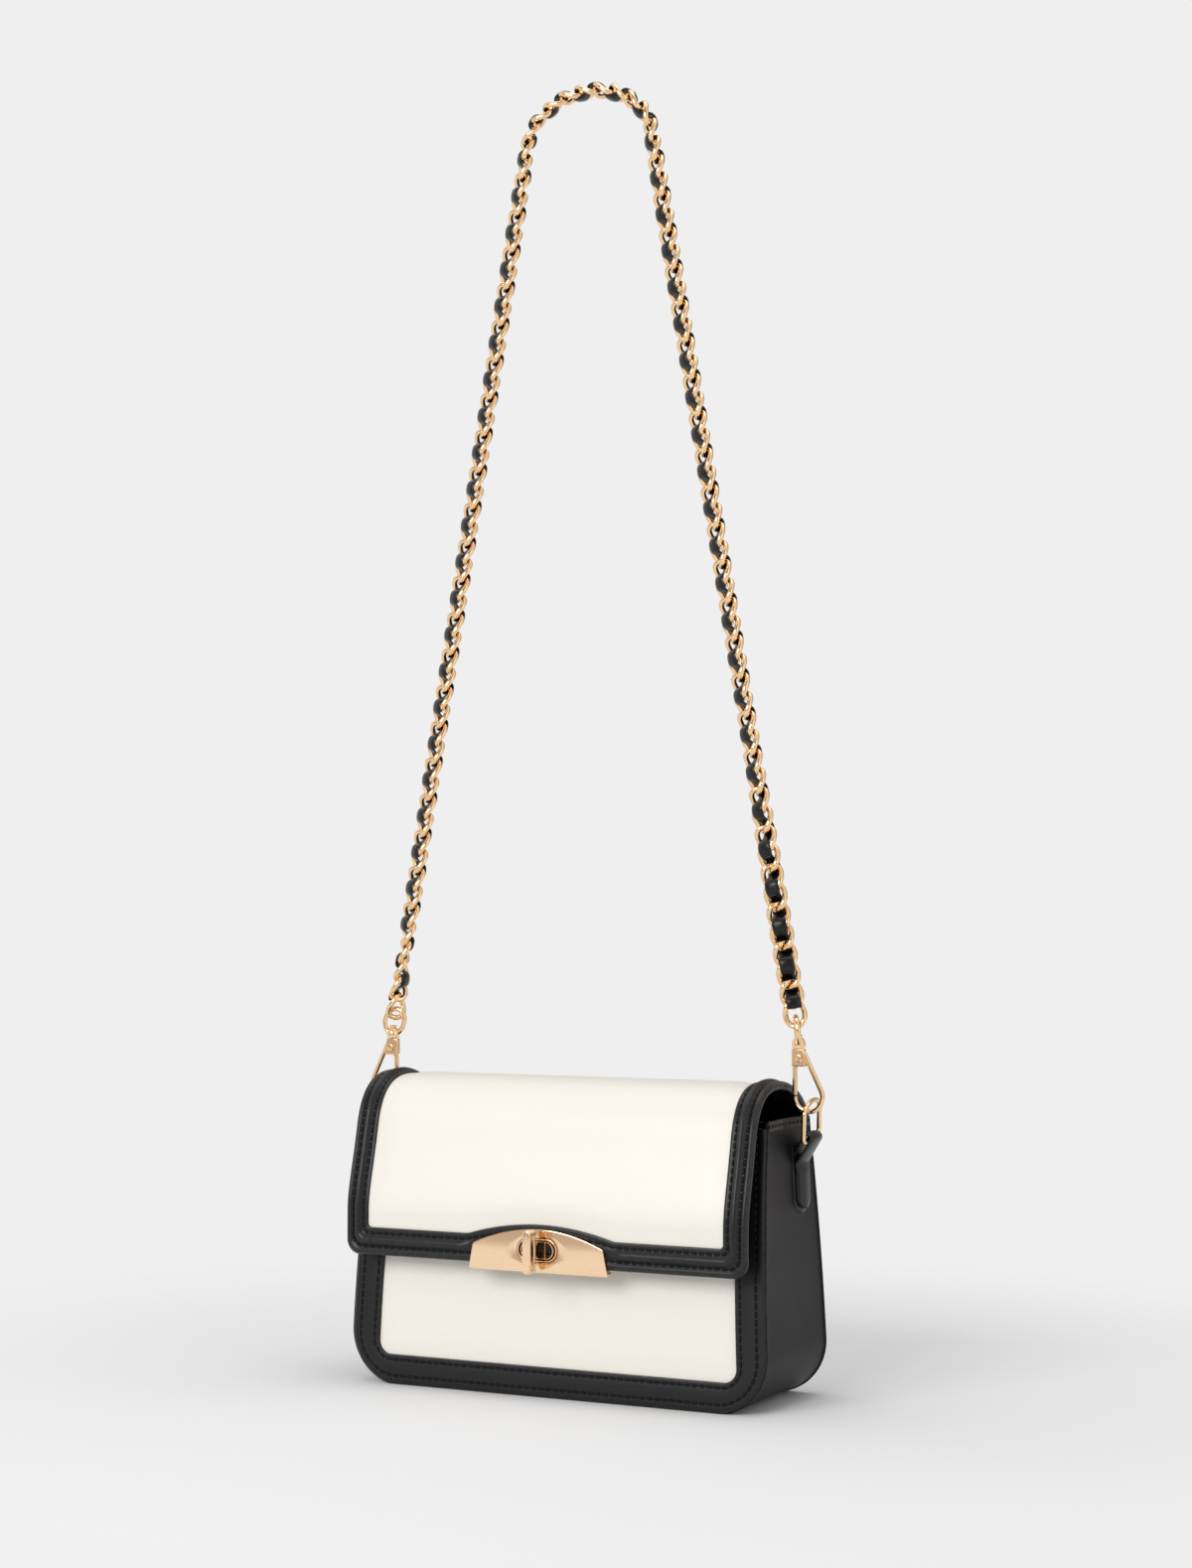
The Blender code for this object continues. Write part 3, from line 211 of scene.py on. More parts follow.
def loft(name, rings, surface, closed=False, sharp=40):
    """A solid through rings of equally many points, smooth up to an angle; open ends are capped."""
    count, total = len(rings[0]), len(rings) * len(rings[0])
    faces = []
    for r in range(len(rings) if closed else len(rings) - 1):
        here, there = r * count, (r + 1) % len(rings) * count
        for k in range(count):
            n = (k + 1) % count
            faces.append((here + k, here + n, there + n, there + k))
    if not closed:
        faces += [tuple(range(count)), tuple(range(total - count, total))]
    data = bpy.data.meshes.new(name)
    data.from_pydata([p for ring in rings for p in ring], [], faces)
    bm = bmesh.new()
    bm.from_mesh(data)
    bmesh.ops.remove_doubles(bm, verts=bm.verts, dist=1e-6)
    bmesh.ops.recalc_face_normals(bm, faces=bm.faces)
    bm.to_mesh(data)
    bm.free()
    data.shade_smooth()
    data.set_sharp_from_angle(angle=radians(sharp))
    return as_object(name, data, surface)


def tube(name, points, radius, surface, normal, closed=False, sides=16, tip=0.0):
    """A round wire along points, with ends rounded over the length tip."""
    points = [Vector(p) for p in points]
    normal = Vector(normal).normalized()
    last = len(points) - 1
    rings = []
    for k, p in enumerate(points):
        before = points[k - 1] if k or closed else points[0]
        after = points[(k + 1) % len(points)] if k < last or closed else points[last]
        ahead = (after - before).normalized()
        side = ahead.cross(normal).normalized()
        up = side.cross(ahead).normalized()
        rings.append((p, ahead, [(side * cos(t) + up * sin(t)) * radius for t in around(sides)]))
    solid = [[p + q for q in ring] for p, _, ring in rings]
    if tip:
        for at, sign in ((0, -1), (-1, 1)):
            p, ahead, ring = rings[at]
            caps = [[p + ahead * sign * tip * sin(a) + q * cos(a) for q in ring] for a in (0.5, 1.0, 1.4)]
            solid = caps[::-1] + solid if at == 0 else solid + caps
    return loft(name, solid, surface, closed=closed)


def turned(name, profile, foot, axis, surface, sides=32):
    """A round solid from (distance along the axis, radius) pairs in millimetres."""
    axis = Vector(axis)
    across = axis.orthogonal().normalized()
    other = axis.cross(across)
    rings = []
    for along, radius in profile:
        middle = Vector(foot) + axis * along * MM
        rings.append([middle + radius * MM * (across * cos(t) + other * sin(t)) for t in around(sides)])
    return loft(name, rings, surface)


# %% [markdown]
# ## Studio
# The bag stands on a pale floor in an even, soft light. The world gives a low, plain light to the
# leather. The camera sees it as the pale studio wall. Polished metal sees a bright table below, a
# dimmer room above, and white walls to the left and the right. The floor fades out away from the
# bag, so that no horizon shows, and keeps only the bag's soft shadow.
# %% World
WALL = (0.863, 0.863, 0.863, 1)
AMBIENT = (0.52, 0.52, 0.53, 1)
SIDE_WALL = (0.90, 0.88, 0.86, 1)
# Each stop of the room, from straight down to straight up: place, brightness, warmth.
ROOM = ((0.38, 0.96, 0), (0.442, 0.92, 0), (0.456, 0.60, 1),
        (0.52, 0.52, 1), (0.62, 0.46, 1), (0.85, 0.38, 1))

world = bpy.data.worlds.new("studio")
world.use_nodes = True
bpy.context.scene.world = world
wt = world.node_tree
wt.nodes.clear()
ray = node(wt, "ShaderNodeLightPath", give=None).outputs
sky = node(wt, "ShaderNodeSeparateXYZ", {0: node(wt, "ShaderNodeNewGeometry", give="Incoming")}, None).outputs
band = node(wt, "ShaderNodeValToRGB", {0: maths(wt, "MULTIPLY_ADD", sky["Z"], -0.5, 0.5)}, None)
for place, _, _ in ROOM[2:]:
    band.color_ramp.elements.new(place)
for stop, (place, level, warm) in zip(band.color_ramp.elements, ROOM):
    stop.position = place
    stop.color = (level, level * (1 - 0.10 * warm), level * (1 - 0.15 * warm), 1)
ahead = ranged(wt, maths(wt, "ABSOLUTE", sky["Y"]), 0.40, 0.72, curve="SMOOTHSTEP")
room = mix_color(wt, ahead, SIDE_WALL, band.outputs["Color"])
shown, mirrored, unseen = [node(wt, "ShaderNodeBackground", {"Color": c}) for c in (WALL, room, AMBIENT)]
glossy = node(wt, "ShaderNodeMixShader", {0: ray["Is Glossy Ray"], 1: unseen, 2: mirrored})
both = node(wt, "ShaderNodeMixShader", {0: ray["Is Camera Ray"], 1: glossy, 2: shown})
node(wt, "ShaderNodeOutputWorld", {"Surface": both}, None)
print("world nodes:", len(wt.nodes))

# %% Floor
FLOOR_WHITE = (0.895, 0.895, 0.895, 1)
FLOOR_REACH = 1.6
FLOOR_SOLID, FLOOR_CLEAR = 0.15, 0.58

floor_paint = bpy.data.materials.new("studio_floor")
floor_paint.use_nodes = True
ft = floor_paint.node_tree
ft.nodes.clear()
spot = node(ft, "ShaderNodeTexCoord", give="Object")
away = node(ft, "ShaderNodeVectorMath", {0: spot}, "Value", operation="LENGTH")
fade = ranged(ft, away, FLOOR_SOLID, FLOOR_CLEAR, curve="SMOOTHSTEP")
white = node(ft, "ShaderNodeBsdfDiffuse", {"Color": FLOOR_WHITE})
mixed = node(ft, "ShaderNodeMixShader", {0: fade, 1: white, 2: node(ft, "ShaderNodeBsdfTransparent")})
node(ft, "ShaderNodeOutputMaterial", {"Surface": mixed}, None)
disk = [(FLOOR_REACH * cos(t), FLOOR_REACH * sin(t), 0) for t in around(48)]
floor_data = bpy.data.meshes.new("floor")
floor_data.from_pydata(disk, [], [tuple(range(48))])
floor = as_object("floor", floor_data, floor_paint)
floor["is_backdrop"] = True


# %% Lamps
def softbox(name, place, aim, size, power):
    """A rectangular lamp that looks at a point."""
    data = bpy.data.lights.new(name, "AREA")
    data.shape = "RECTANGLE"
    data.size, data.size_y = size
    data.energy = power
    made = bpy.data.objects.new(name, data)
    made.location = place
    made.rotation_euler = (Vector(aim) - Vector(place)).to_track_quat("-Z", "Y").to_euler()
    bpy.context.collection.objects.link(made)


softbox("key", (-0.35, -2.0, 1.05), (0, 0, 0.10), (1.3, 0.9), 24.5)
softbox("overhead", (0.1, 0.1, 2.2), (0, 0, 0.1), (1.4, 1.4), 9)
softbox("side", (2.0, -0.9, 0.9), (0.1, 0, 0.1), (0.7, 1.3), 2.5)

# %% [markdown]
# ## What the finishes share
# Leather, thread, cloth and plated metal all need small irregularities. Each effect is one node
# group with named inputs, so that a finish only says how coarse or how strong it wants it.
# %% Shared group: leather grain
grain, g_in = new_group("leather_grain", "Shader",
                        {"Vector": "Vector", "Scale": "Float", "Softness": "Float"},
                        {"Height": "Float", "Pores": "Float", "Mottle": "Float"})
drift = noise(grain, g_in["Vector"], 160.0, give="Color")
shifted = node(grain, "ShaderNodeMix", {0: 0.004, 4: g_in["Vector"], 5: drift}, 1, data_type="VECTOR")
cells = node(grain, "ShaderNodeTexVoronoi", {"Vector": shifted, "Scale": g_in["Scale"]}, "Distance",
             feature="DISTANCE_TO_EDGE")
pebble = ranged(grain, cells, 0.0, g_in["Softness"], curve="SMOOTHSTEP")
fine = noise(grain, g_in["Vector"], 2600.0)
wide = noise(grain, g_in["Vector"], 22.0, 3.0)
rise = maths(grain, "MULTIPLY_ADD", fine, 0.35, pebble)
give_out(grain, Height=maths(grain, "MULTIPLY_ADD", wide, 1.2, rise),
         Pores=maths(grain, "SUBTRACT", 1.0, pebble), Mottle=wide)

# %% Shared group: painted highlight on rims
# A piece carries a "rim" attribute, 1 on its exposed edges and crests, where a painted highlight makes its
# colour paler.
rim_highlight, r_in = new_group("painted_rim_highlight", "Shader", {"Vector": "Vector", "Amount": "Float"}, {"Mask": "Float"})
rim = node(rim_highlight, "ShaderNodeAttribute", give="Fac", attribute_name="rim")
broken = ranged(rim_highlight, noise(rim_highlight, r_in["Vector"], 300.0, 4.0), 0.35, 0.65)
give_out(rim_highlight, Mask=maths(rim_highlight, "MULTIPLY", maths(rim_highlight, "MULTIPLY", rim, broken), r_in["Amount"]))

# %% Shared group: polishing marks on metal
marks, m_in = new_group("polish_marks", "Shader", {"Vector": "Vector", "Stretch": "Vector"},
                        {"Height": "Float", "Cloud": "Float"})
pulled = node(marks, "ShaderNodeVectorMath", {0: m_in["Vector"], 1: m_in["Stretch"]}, operation="MULTIPLY")
give_out(marks, Height=noise(marks, pulled, 900.0, 5.0), Cloud=noise(marks, m_in["Vector"], 70.0, 3.0))

# %% Shared group: plain weave
weave, w_in = new_group("plain_weave", "Shader", {"Vector": "Vector", "Threads": "Float"},
                        {"Height": "Float", "Over": "Float"})
scaled = node(weave, "ShaderNodeVectorMath", {0: w_in["Vector"], "Scale": w_in["Threads"]}, operation="SCALE")
parts = node(weave, "ShaderNodeSeparateXYZ", {0: scaled}, None).outputs
level = maths(weave, "ADD", parts["Z"], maths(weave, "MULTIPLY", parts["Y"], 0.15))
side = maths(weave, "ADD", parts["X"], parts["Y"])
waves = [maths(weave, "SINE", maths(weave, "MULTIPLY", v, pi)) for v in (side, level)]
warp, weft = [maths(weave, "ABSOLUTE", wave) for wave in waves]
square = maths(weave, "ADD", maths(weave, "FLOOR", side), maths(weave, "FLOOR", level))
odd = maths(weave, "PINGPONG", square, 1.0)
shut = maths(weave, "MULTIPLY", weft, maths(weave, "SUBTRACT", 1.0, odd))
give_out(weave, Height=maths(weave, "ADD", maths(weave, "MULTIPLY", warp, odd), shut), Over=odd)
print("shared groups:", len(bpy.data.node_groups))


# %% [markdown]
# ## Finishes
# The cream and the black are coated calfskin: a close, shallow grain under an even coat. The lace is
# the same black leather with a smoother face. The metal is light gold plate over zinc, polished but
# not a perfect mirror.
# %% Finish helpers
def finish(name, **fixed):
    """A material with fixed values, its tree, its Principled shader and its Object coordinates."""
    made = bpy.data.materials.new(name)
    made.use_nodes = True
    tree = made.node_tree
    shader = tree.nodes["Principled BSDF"]
    for label, value in fixed.items():
        shader.inputs[label.replace("_", " ").title().replace("Ior", "IOR")].default_value = value
    return made, tree, shader, node(tree, "ShaderNodeTexCoord", give="Object")


def shared(tree, group, **feeds):
    return node(tree, "ShaderNodeGroup", feeds, None, node_tree=group).outputs


def paint(tree, shader, color, height=None, strength=0.0, distance=0.0002, rough=None):
    """Feed a shader its colour, its relief and its roughness, as far as they are given."""
    feeds = {"Base Color": color, "Roughness": rough}
    if height:
        relief = {"Height": height, "Strength": strength, "Distance": distance}
        feeds["Normal"] = node(tree, "ShaderNodeBump", relief)
    for label, socket in feeds.items():
        if socket:
            tree.links.new(socket, shader.inputs[label])


def leather(name, color, deep, scale, rough, coat, gloss, strength, highlight_amount):
    """Coated calfskin: color on the pebbles, deep in the creases, paler on its rims as a painted highlight.
    """
    made, tree, shader, where = finish(name, coat_weight=coat, coat_roughness=0.20, specular_ior_level=gloss)
    hide = shared(tree, grain, Vector=where, Scale=scale, Softness=0.32)
    highlight_mask = shared(tree, rim_highlight, Vector=where, Amount=highlight_amount)["Mask"]
    tone = mix_color(tree, maths(tree, "MULTIPLY", hide["Pores"], 0.5), color, deep)
    cloudy = mix_color(tree, maths(tree, "MULTIPLY", hide["Mottle"], 0.35), tone, deep)
    # Painted highlight: rims get this paler colour.
    pale = tuple(min(c * 1.5 + 0.02, 0.95) for c in color[:3]) + (1,)
    dull = ranged(tree, hide["Mottle"], 0, 1, (rough - 0.05, rough + 0.06))
    paint(tree, shader, mix_color(tree, highlight_mask, cloudy, pale), hide["Height"], strength, rough=dull)
    return made


def plated(name, color, deep, rough, stretch, scratch, wave):
    """Polished plate with faint marks along one direction, a slightly uneven face and painted shade in its
    hollows.
    """
    made, tree, shader, where = finish(name, metallic=1.0)
    mark = shared(tree, marks, Vector=where, Stretch=stretch)
    hollow_shade = node(tree, "ShaderNodeAttribute", give="Fac", attribute_name="hollow_shade")
    plain = mix_color(tree, mark["Cloud"], deep, color)
    waves = maths(tree, "MULTIPLY", mark["Cloud"], wave)
    relief = maths(tree, "MULTIPLY_ADD", mark["Height"], scratch, waves)
    # Painted shade: points marked as lying in a hollow turn dark brown.
    paint(tree, shader, mix_color(tree, hollow_shade, plain, (0.13, 0.075, 0.04, 1)), relief, 1.0, 0.0003,
          ranged(tree, mark["Cloud"], 0, 1, (rough * 0.7, rough * 1.4)))
    return made


def two_toned(name, pattern, a, b, strength=0.0, distance=0.0002, **fixed):
    """A finish mixed from two colours by a pattern, which can also give its relief."""
    made, tree, shader, where = finish(name, **fixed)
    mask, height = pattern(tree, where)
    paint(tree, shader, mix_color(tree, mask, a, b), height, strength, distance)
    return made


# %% Leathers
# For each: colour, colour in the creases, grain, roughness, coat, gloss, relief, painted highlight on rims.
cream = leather("cream_leather", (0.880, 0.850, 0.770, 1), (0.840, 0.805, 0.720, 1),
                1500.0, 0.44, 0.05, 0.5, 0.10, 0)
BLACK_CREASE = (0.004, 0.004, 0.0045, 1)
black = leather("black_leather", (0.0085, 0.0085, 0.0090, 1), BLACK_CREASE,
                1300.0, 0.36, 0.10, 0.32, 0.16, 0.6)
gusset_hide = leather("gusset_leather", (0.0075, 0.0075, 0.0080, 1), BLACK_CREASE,
                      1300.0, 0.42, 0.02, 0.16, 0.14, 0.8)
lace_hide = leather("lace_leather", (0.0070, 0.0070, 0.0075, 1), (0.003, 0.003, 0.003, 1),
                    1700.0, 0.22, 0.2, 0.22, 0.14, 0.3)


# %% Thread, cloth and board
def twisted(tree, where):
    feeds = {"Vector": where, "Scale": 900.0, "Distortion": 2.0}
    return [node(tree, "ShaderNodeTexWave", feeds, "Fac", bands_direction="DIAGONAL")] * 2


def speckled(tree, where):
    return noise(tree, where, 500.0), None


def fibrous(tree, where):
    return [noise(tree, where, 400.0, 6.0)] * 2


def woven(tree, where):
    cloth = shared(tree, weave, Vector=where, Threads=1400.0)
    return cloth["Over"], cloth["Height"]


thread = two_toned("black_thread", twisted, (0.002, 0.002, 0.002, 1), (0.006, 0.006, 0.006, 1), 0.4, 0.0001,
                   roughness=0.5, specular_ior_level=0.3)
# Painted shadow: near-black, matte blobs under the stitches stand for the shade in their grooves and needle
# holes.
stitch_shadow = two_toned("stitch_painted_shadow", speckled, (0.0005, 0.0005, 0.0005, 1), (0.0015, 0.0015, 0.0015, 1),
                 roughness=1.0, specular_ior_level=0.0)
lining_cloth = two_toned("black_lining", woven, (0.022, 0.022, 0.024, 1), (0.032, 0.032, 0.035, 1), 0.5,
                         roughness=0.8, sheen_weight=0.15)
board_grey = two_toned("grey_board", fibrous, (0.25, 0.235, 0.21, 1), (0.40, 0.38, 0.34, 1), 0.3,
                       roughness=0.9)

# %% Metals
# For each: colour, colour in the clouds, roughness, stretch of the marks, their depth, the waves' depth.
gold = plated("light_gold", (0.95, 0.70, 0.43, 1), (0.84, 0.56, 0.31, 1), 0.11, (1.0, 1.0, 1.0), 0.002, 0.04)
plate_gold = plated("plate_gold", (0.96, 0.72, 0.48, 1), (0.92, 0.66, 0.43, 1), 0.09,
                    (0.08, 1.0, 1.0), 0.001, 0.12)
steel = plated("spring_steel", (0.55, 0.55, 0.55, 1), (0.46, 0.46, 0.47, 1), 0.3, (1.0, 1.0, 0.1), 0.05, 0.1)
print("materials:", ", ".join(m.name for m in bpy.data.materials))

# %% [markdown]
# ## The body's measure
# A pattern cutter works from flat outlines. So do we: each outline is drawn flat, and one function
# lifts a flat point onto the slanted, slightly swollen face of the bag. The same sizes as in the
# CAD source are repeated here.
# %% Body sizes
BASE_WIDTH = 240 * MM
WIDTH_TAPER = 10.8 * MM
BASE_DEPTH = 78 * MM
DEPTH_TAPER = 22 * MM
BODY_HEIGHT = 143 * MM
FRONT_HEIGHT = 140 * MM
SEAM_HEIGHT = 138 * MM
CORNER = 28 * MM
SWELL = 0.09
BORDER_SIDE = 16.2 * MM
BORDER_BOTTOM = 15.5 * MM
OPENING_CORNER = 7 * MM


def half_width(z):
    return (BASE_WIDTH - WIDTH_TAPER * z / BODY_HEIGHT) / 2


def half_depth(z):
    """Half the body's depth at a height, with the swelling of the stuffed body."""
    t = min(max(z / BODY_HEIGHT, 0), 1)
    swell = 1 + SWELL * 4 * t * (1 - t) * ease((SEAM_HEIGHT - z) / (20 * MM))
    return (BASE_DEPTH - DEPTH_TAPER * z / BODY_HEIGHT) / 2 * swell


def front_at(x, z, h):
    """A point on the front: h is the height over the border's outer face."""
    return Vector((x, -half_depth(z) - h, z))


def back_at(x, z, h):
    return Vector((x, half_depth(z) + h, z))


# %% [markdown]
# ## The flap's line
# Seen from the side, the flap rises from the back seam, bends over the top and falls straight in
# front. Three Bezier curves give that line, as a spline ruler would. Height over the line is
# measured square to it.
# %% Flap line
SEAM_INSET = 2.3 * MM
FLAP_TOP = Vector((-10, 160.2)) * MM
FLAP_SHOULDER = Vector((-41.4, 134.0)) * MM
FLAP_KNEE = Vector((-50.4, 92.0)) * MM
FLAP_BOTTOM = 68.5 * MM
FLAP_HALF = 115 * MM


def bezier(a, b, c, d):
    return [a * (1 - t) ** 3 + b * (3 * t * (1 - t) ** 2) + c * (3 * t * t * (1 - t)) + d * t**3
            for t in spaced(0, 1, 36)[1:]]


def flap_line():
    slope = DEPTH_TAPER / 2 / BODY_HEIGHT
    start = Vector((BASE_DEPTH / 2 - slope * SEAM_HEIGHT - SEAM_INSET, SEAM_HEIGHT))
    rise = Vector((-slope, 1)).normalized()
    ahead, down = Vector((-1, 0)), Vector((0, -1))
    fall = Vector((-0.204, -1)).normalized()
    line = [start]
    line += bezier(start, start + rise * 14 * MM, FLAP_TOP - ahead * 16 * MM, FLAP_TOP)
    line += bezier(FLAP_TOP, FLAP_TOP + ahead * 20 * MM, FLAP_SHOULDER - fall * 17 * MM, FLAP_SHOULDER)
    line += bezier(FLAP_SHOULDER, FLAP_SHOULDER + fall * 16 * MM, FLAP_KNEE - down * 10 * MM, FLAP_KNEE)
    return line + [Vector((FLAP_KNEE.x, z)) for z in spaced(FLAP_KNEE.y, FLAP_BOTTOM, 12)[1:]]


LINE = flap_line()
ALONG = lengths(LINE)
FLAP_LENGTH = ALONG[-1]
HEADING = [(LINE[min(k + 1, len(LINE) - 1)] - LINE[max(k - 1, 0)]).normalized() for k in range(len(LINE))]


def cover_at(x, s, h):
    """A point on the back (s below 0) or the flap: h is measured from the middle of the cream ply."""
    if s < 0:
        return back_at(x, SEAM_HEIGHT + s, h - SEAM_INSET)
    k = stretch_at(ALONG, s)
    share = (s - ALONG[k]) / (ALONG[k + 1] - ALONG[k])
    ahead = HEADING[k].lerp(HEADING[k + 1], share)
    here = LINE[k].lerp(LINE[k + 1], share) + Vector((ahead.y, -ahead.x)).normalized() * h
    return Vector((x, here.x, here.y))


print(f"flap length {FLAP_LENGTH / MM:.1f} mm")


# %% [markdown]
# ## A border as a swept section
# The black border is one strip of leather shaped like a U, with its edges turned in. We sweep its
# cross section along two matching paths, the outer and the inner edge, so it narrows and turns its
# corners as the leather does. Sweeping keeps the bead and the stitch grooves parallel to the edge.
# %% U-shaped paths
SIDE_STEPS, ARC_STEPS, FOOT_STEPS = 44, 22, 92


def u_path(half, foot, corner, top, down=-1):
    """(x, v) from the top left, down, across the foot and up; v is a height or a flap distance."""
    turn = foot - down * corner
    reach = half(turn) - corner
    left = [(-half(v), v) for v in spaced(top, turn, SIDE_STEPS)]
    left += [(-x, v) for x, v in arc((reach, turn), corner, 0, 90 * down, ARC_STEPS)[1:]]
    flat = [(x, foot) for x in spaced(-reach, reach, FOOT_STEPS)[1:-1]]
    return left + flat + [(-x, v) for x, v in reversed(left)]


def rimmed(made, amounts, label="rim"):
    """Store a mask per point for the finish to read: painted highlight on rims, or painted shade in hollows.
    """
    made.data.attributes.new(label, "FLOAT", "POINT").data.foreach_set("value", amounts)


def between(a, b, section, d):
    """The (x, v) at a distance from the outer path, of a section whose first point is its inner edge."""
    share = d / section[0][0]
    return lerp(a[0], b[0], share), lerp(a[1], b[1], share)


def swept_border(name, at, outer, inner, section, bead=lambda x, v: 1):
    """Sweep (distance from the outer edge, height, painted highlight, bead) along two matching paths."""
    rings, rims = [], []
    for a, b in zip(outer, inner):
        ring = []
        for row in section:
            d, h, highlit, swollen = (*row, 0, 0)[:4]
            x, v = between(a, b, section, d)
            ring.append(at(x, v, (h + swollen * bead(x, v)) * MM))
            rims.append(highlit)
        rings.append(ring)
    rimmed(loft(name, rings, black), rims)


# %% [markdown]
# ## Stitches
# A stitch is a short pull of thread that dips into the leather at both ends. Hundreds of them follow
# every edge, so Geometry Nodes place them: a guide line is cut into equal steps, and each step gets
# one small thread, turned along the line, over a flat near-black blob of painted shadow for its groove.
# %% Shared by both trees
def named(tree, label):
    return node(tree, "GeometryNodeInputNamedAttribute", {"Name": label}, data_type="FLOAT_VECTOR")


def set_out(tree, places, shape, along, up, surface):
    """Set a shape at every place, turned along one direction and up another, as one smooth mesh."""
    turn = node(tree, "FunctionNodeAlignRotationToVector", {"Vector": along}, axis="X")
    turn = node(tree, "FunctionNodeAlignRotationToVector", {"Rotation": turn, "Vector": up},
                axis="Z", pivot_axis="X")
    many = node(tree, "GeometryNodeInstanceOnPoints", {"Points": places, "Instance": shape, "Rotation": turn})
    real = node(tree, "GeometryNodeRealizeInstances", {0: many})
    soft = node(tree, "GeometryNodeSetShadeSmooth", {0: real})
    return node(tree, "GeometryNodeSetMaterial", {"Geometry": soft, "Material": surface})


def guide_mesh(points, edges, **directions):
    """Loose points or lines that carry directions for a tree to read."""
    data = bpy.data.meshes.new("guide")
    data.from_pydata(points, edges, [])
    for label, rows in directions.items():
        mark = data.attributes.new(label, "FLOAT_VECTOR", "POINT")
        mark.data.foreach_set("vector", [c for row in rows for c in row])
    return data


def grow(name, guide, tree, values):
    """Run a Geometry Nodes tree on a guide mesh and keep the result as a plain mesh."""
    holder = as_object(name + "_guide", guide)
    step = holder.modifiers.new("grow", "NODES")
    step.node_group = tree
    sockets = {s.name: s.identifier for s in tree.interface.items_tree if s.in_out == "INPUT"}
    for label, value in values.items():
        step[sockets[label]] = value
    holder.update_tag()
    graph = bpy.context.evaluated_depsgraph_get()
    data = bpy.data.meshes.new_from_object(holder.evaluated_get(graph), preserve_all_data_layers=False,
                                           depsgraph=graph)
    bpy.data.objects.remove(holder, do_unlink=True)
    print(f"{name}: {len(data.polygons)} faces")
    return as_object(name, data)


# %% Stitch tree
stitcher, s_in = new_group("stitcher", "Geometry",
                           {"Guide": "Geometry", "Pitch": "Float", "Length": "Float", "Thickness": "Float",
                            "Thread": "Material", "Shadow Width": "Float", "Dent": "Material"},
                           {"Stitches": "Geometry"})
curve = node(stitcher, "GeometryNodeMeshToCurve", {0: s_in["Guide"]})
steps = node(stitcher, "GeometryNodeResampleCurve", {"Curve": curve, "Length": s_in["Pitch"]}, mode="LENGTH")
up = named(stitcher, "up")
tangent = node(stitcher, "GeometryNodeInputTangent")
ball = node(stitcher, "GeometryNodeMeshUVSphere", {"Segments": 8, "Rings": 6, "Radius": 0.5})
long, thick = s_in["Length"], s_in["Thickness"]
# Each thread lies on a flattened blob of painted shadow, a little longer than the thread.
shadow_long, shadow_deep = maths(stitcher, "MULTIPLY", long, 1.2), maths(stitcher, "MULTIPLY", thick, 0.5)
sizes = {"Thread": (long, thick, thick), "Dent": (shadow_long, s_in["Shadow Width"], shadow_deep)}
together = node(stitcher, "GeometryNodeJoinGeometry", give=None)
for label, size in sizes.items():
    scale = node(stitcher, "ShaderNodeCombineXYZ", dict(enumerate(size)))
    one = node(stitcher, "GeometryNodeTransform", {"Geometry": ball, "Scale": scale})
    stitcher.links.new(set_out(stitcher, steps, one, tangent, up, s_in[label]), together.inputs[0])
give_out(stitcher, Stitches=together.outputs[0])
STITCH = {"Pitch": 4.1 * MM, "Length": 3.0 * MM, "Thickness": 0.95 * MM, "Shadow Width": 1.75 * MM,
          "Thread": thread, "Dent": stitch_shadow}


def stitched(name, rows):
    """Stitches along rows of (point, upward) pairs."""
    points, edges = [], []
    for row in rows:
        edges += [(k, k + 1) for k in range(len(points), len(points) + len(row) - 1)]
        points += row
    grow(name, guide_mesh([p for p, _ in points], edges, up=[u for _, u in points]), stitcher, STITCH)


def seam_rows(at, outer, inner, section, holes):
    """A stitch row for each (distance from the outer edge, height) in holes."""
    rows = []
    for d, h in holes:
        spots = [between(a, b, section, d) for a, b in zip(outer, inner)]
        feet = [(x, v, at(x, v, h * MM)) for x, v in spots]
        rows.append([(foot, (at(x, v, (h + 1) * MM) - foot).normalized()) for x, v, foot in feet])
    return rows


# %% [markdown]
# ## Front and back of the body
# Each face is a cream panel over board, with a black U-shaped border stitched on it. The panel is
# tucked under the border, and it swells a little where nothing holds it down.
# %% Border section and panels
PANEL_INSET, PANEL_FOOT = 9 * MM, 8 * MM
PANEL_SUNK, PANEL_THICK = -1.5 * MM, 1.2 * MM
PANEL_CROWN, PANEL_SLOPE = 1.1 * MM, 14 * MM
# Distance from the outer edge, height over the face and, where there is any, painted highlight.
BODY_BORDER = [
    (16.2, -1.55), (16.2, -0.75, 0.3), (16.0, -0.2, 0.6), (15.6, 0.02, 0.2), (14.6, 0.05), (13.9, -0.03),
    (13.4, -0.16), (12.9, -0.03), (12.2, 0.12), (10.5, 0.28), (8.2, 0.32), (6.4, 0.22), (5.3, 0.06),
    (4.7, -0.08), (4.1, 0.06), (3.2, 0.14), (2.0, 0.12), (1.1, -0.02, 0.3), (0.4, -0.40, 0.7),
    (0.05, -1.0, 0.4), (0.0, -1.6), (0.6, -1.9), (8.0, -1.6),
]
BODY_HOLES = ((13.4, -0.1), (4.7, 0.0))


def ply(name, at, half, start, end, deep, thick, surface, crown, opening, slope, rows):
    """A sheet from start to end(x), half(v) wide; crown swells it over slope, away from its border."""
    rings = []
    for share in spaced(0, 1, rows):
        reach = half(lerp(start, end(0), share))
        spots = [(x, lerp(start, end(x), share)) for x in spaced(-reach, reach, 60)]
        upper = [at(x, v, deep + crown * ease(opening(x, v) / slope)) for x, v in spots]
        rings.append(upper + [at(x, v, deep - thick) for x, v in reversed(spots)])
    loft(name, rings, surface)


def body_opening(x, z):
    """How far inside the border's opening a point of the body's panel is."""
    return min(half_width(z) - BORDER_SIDE - abs(x), z - BORDER_BOTTOM)


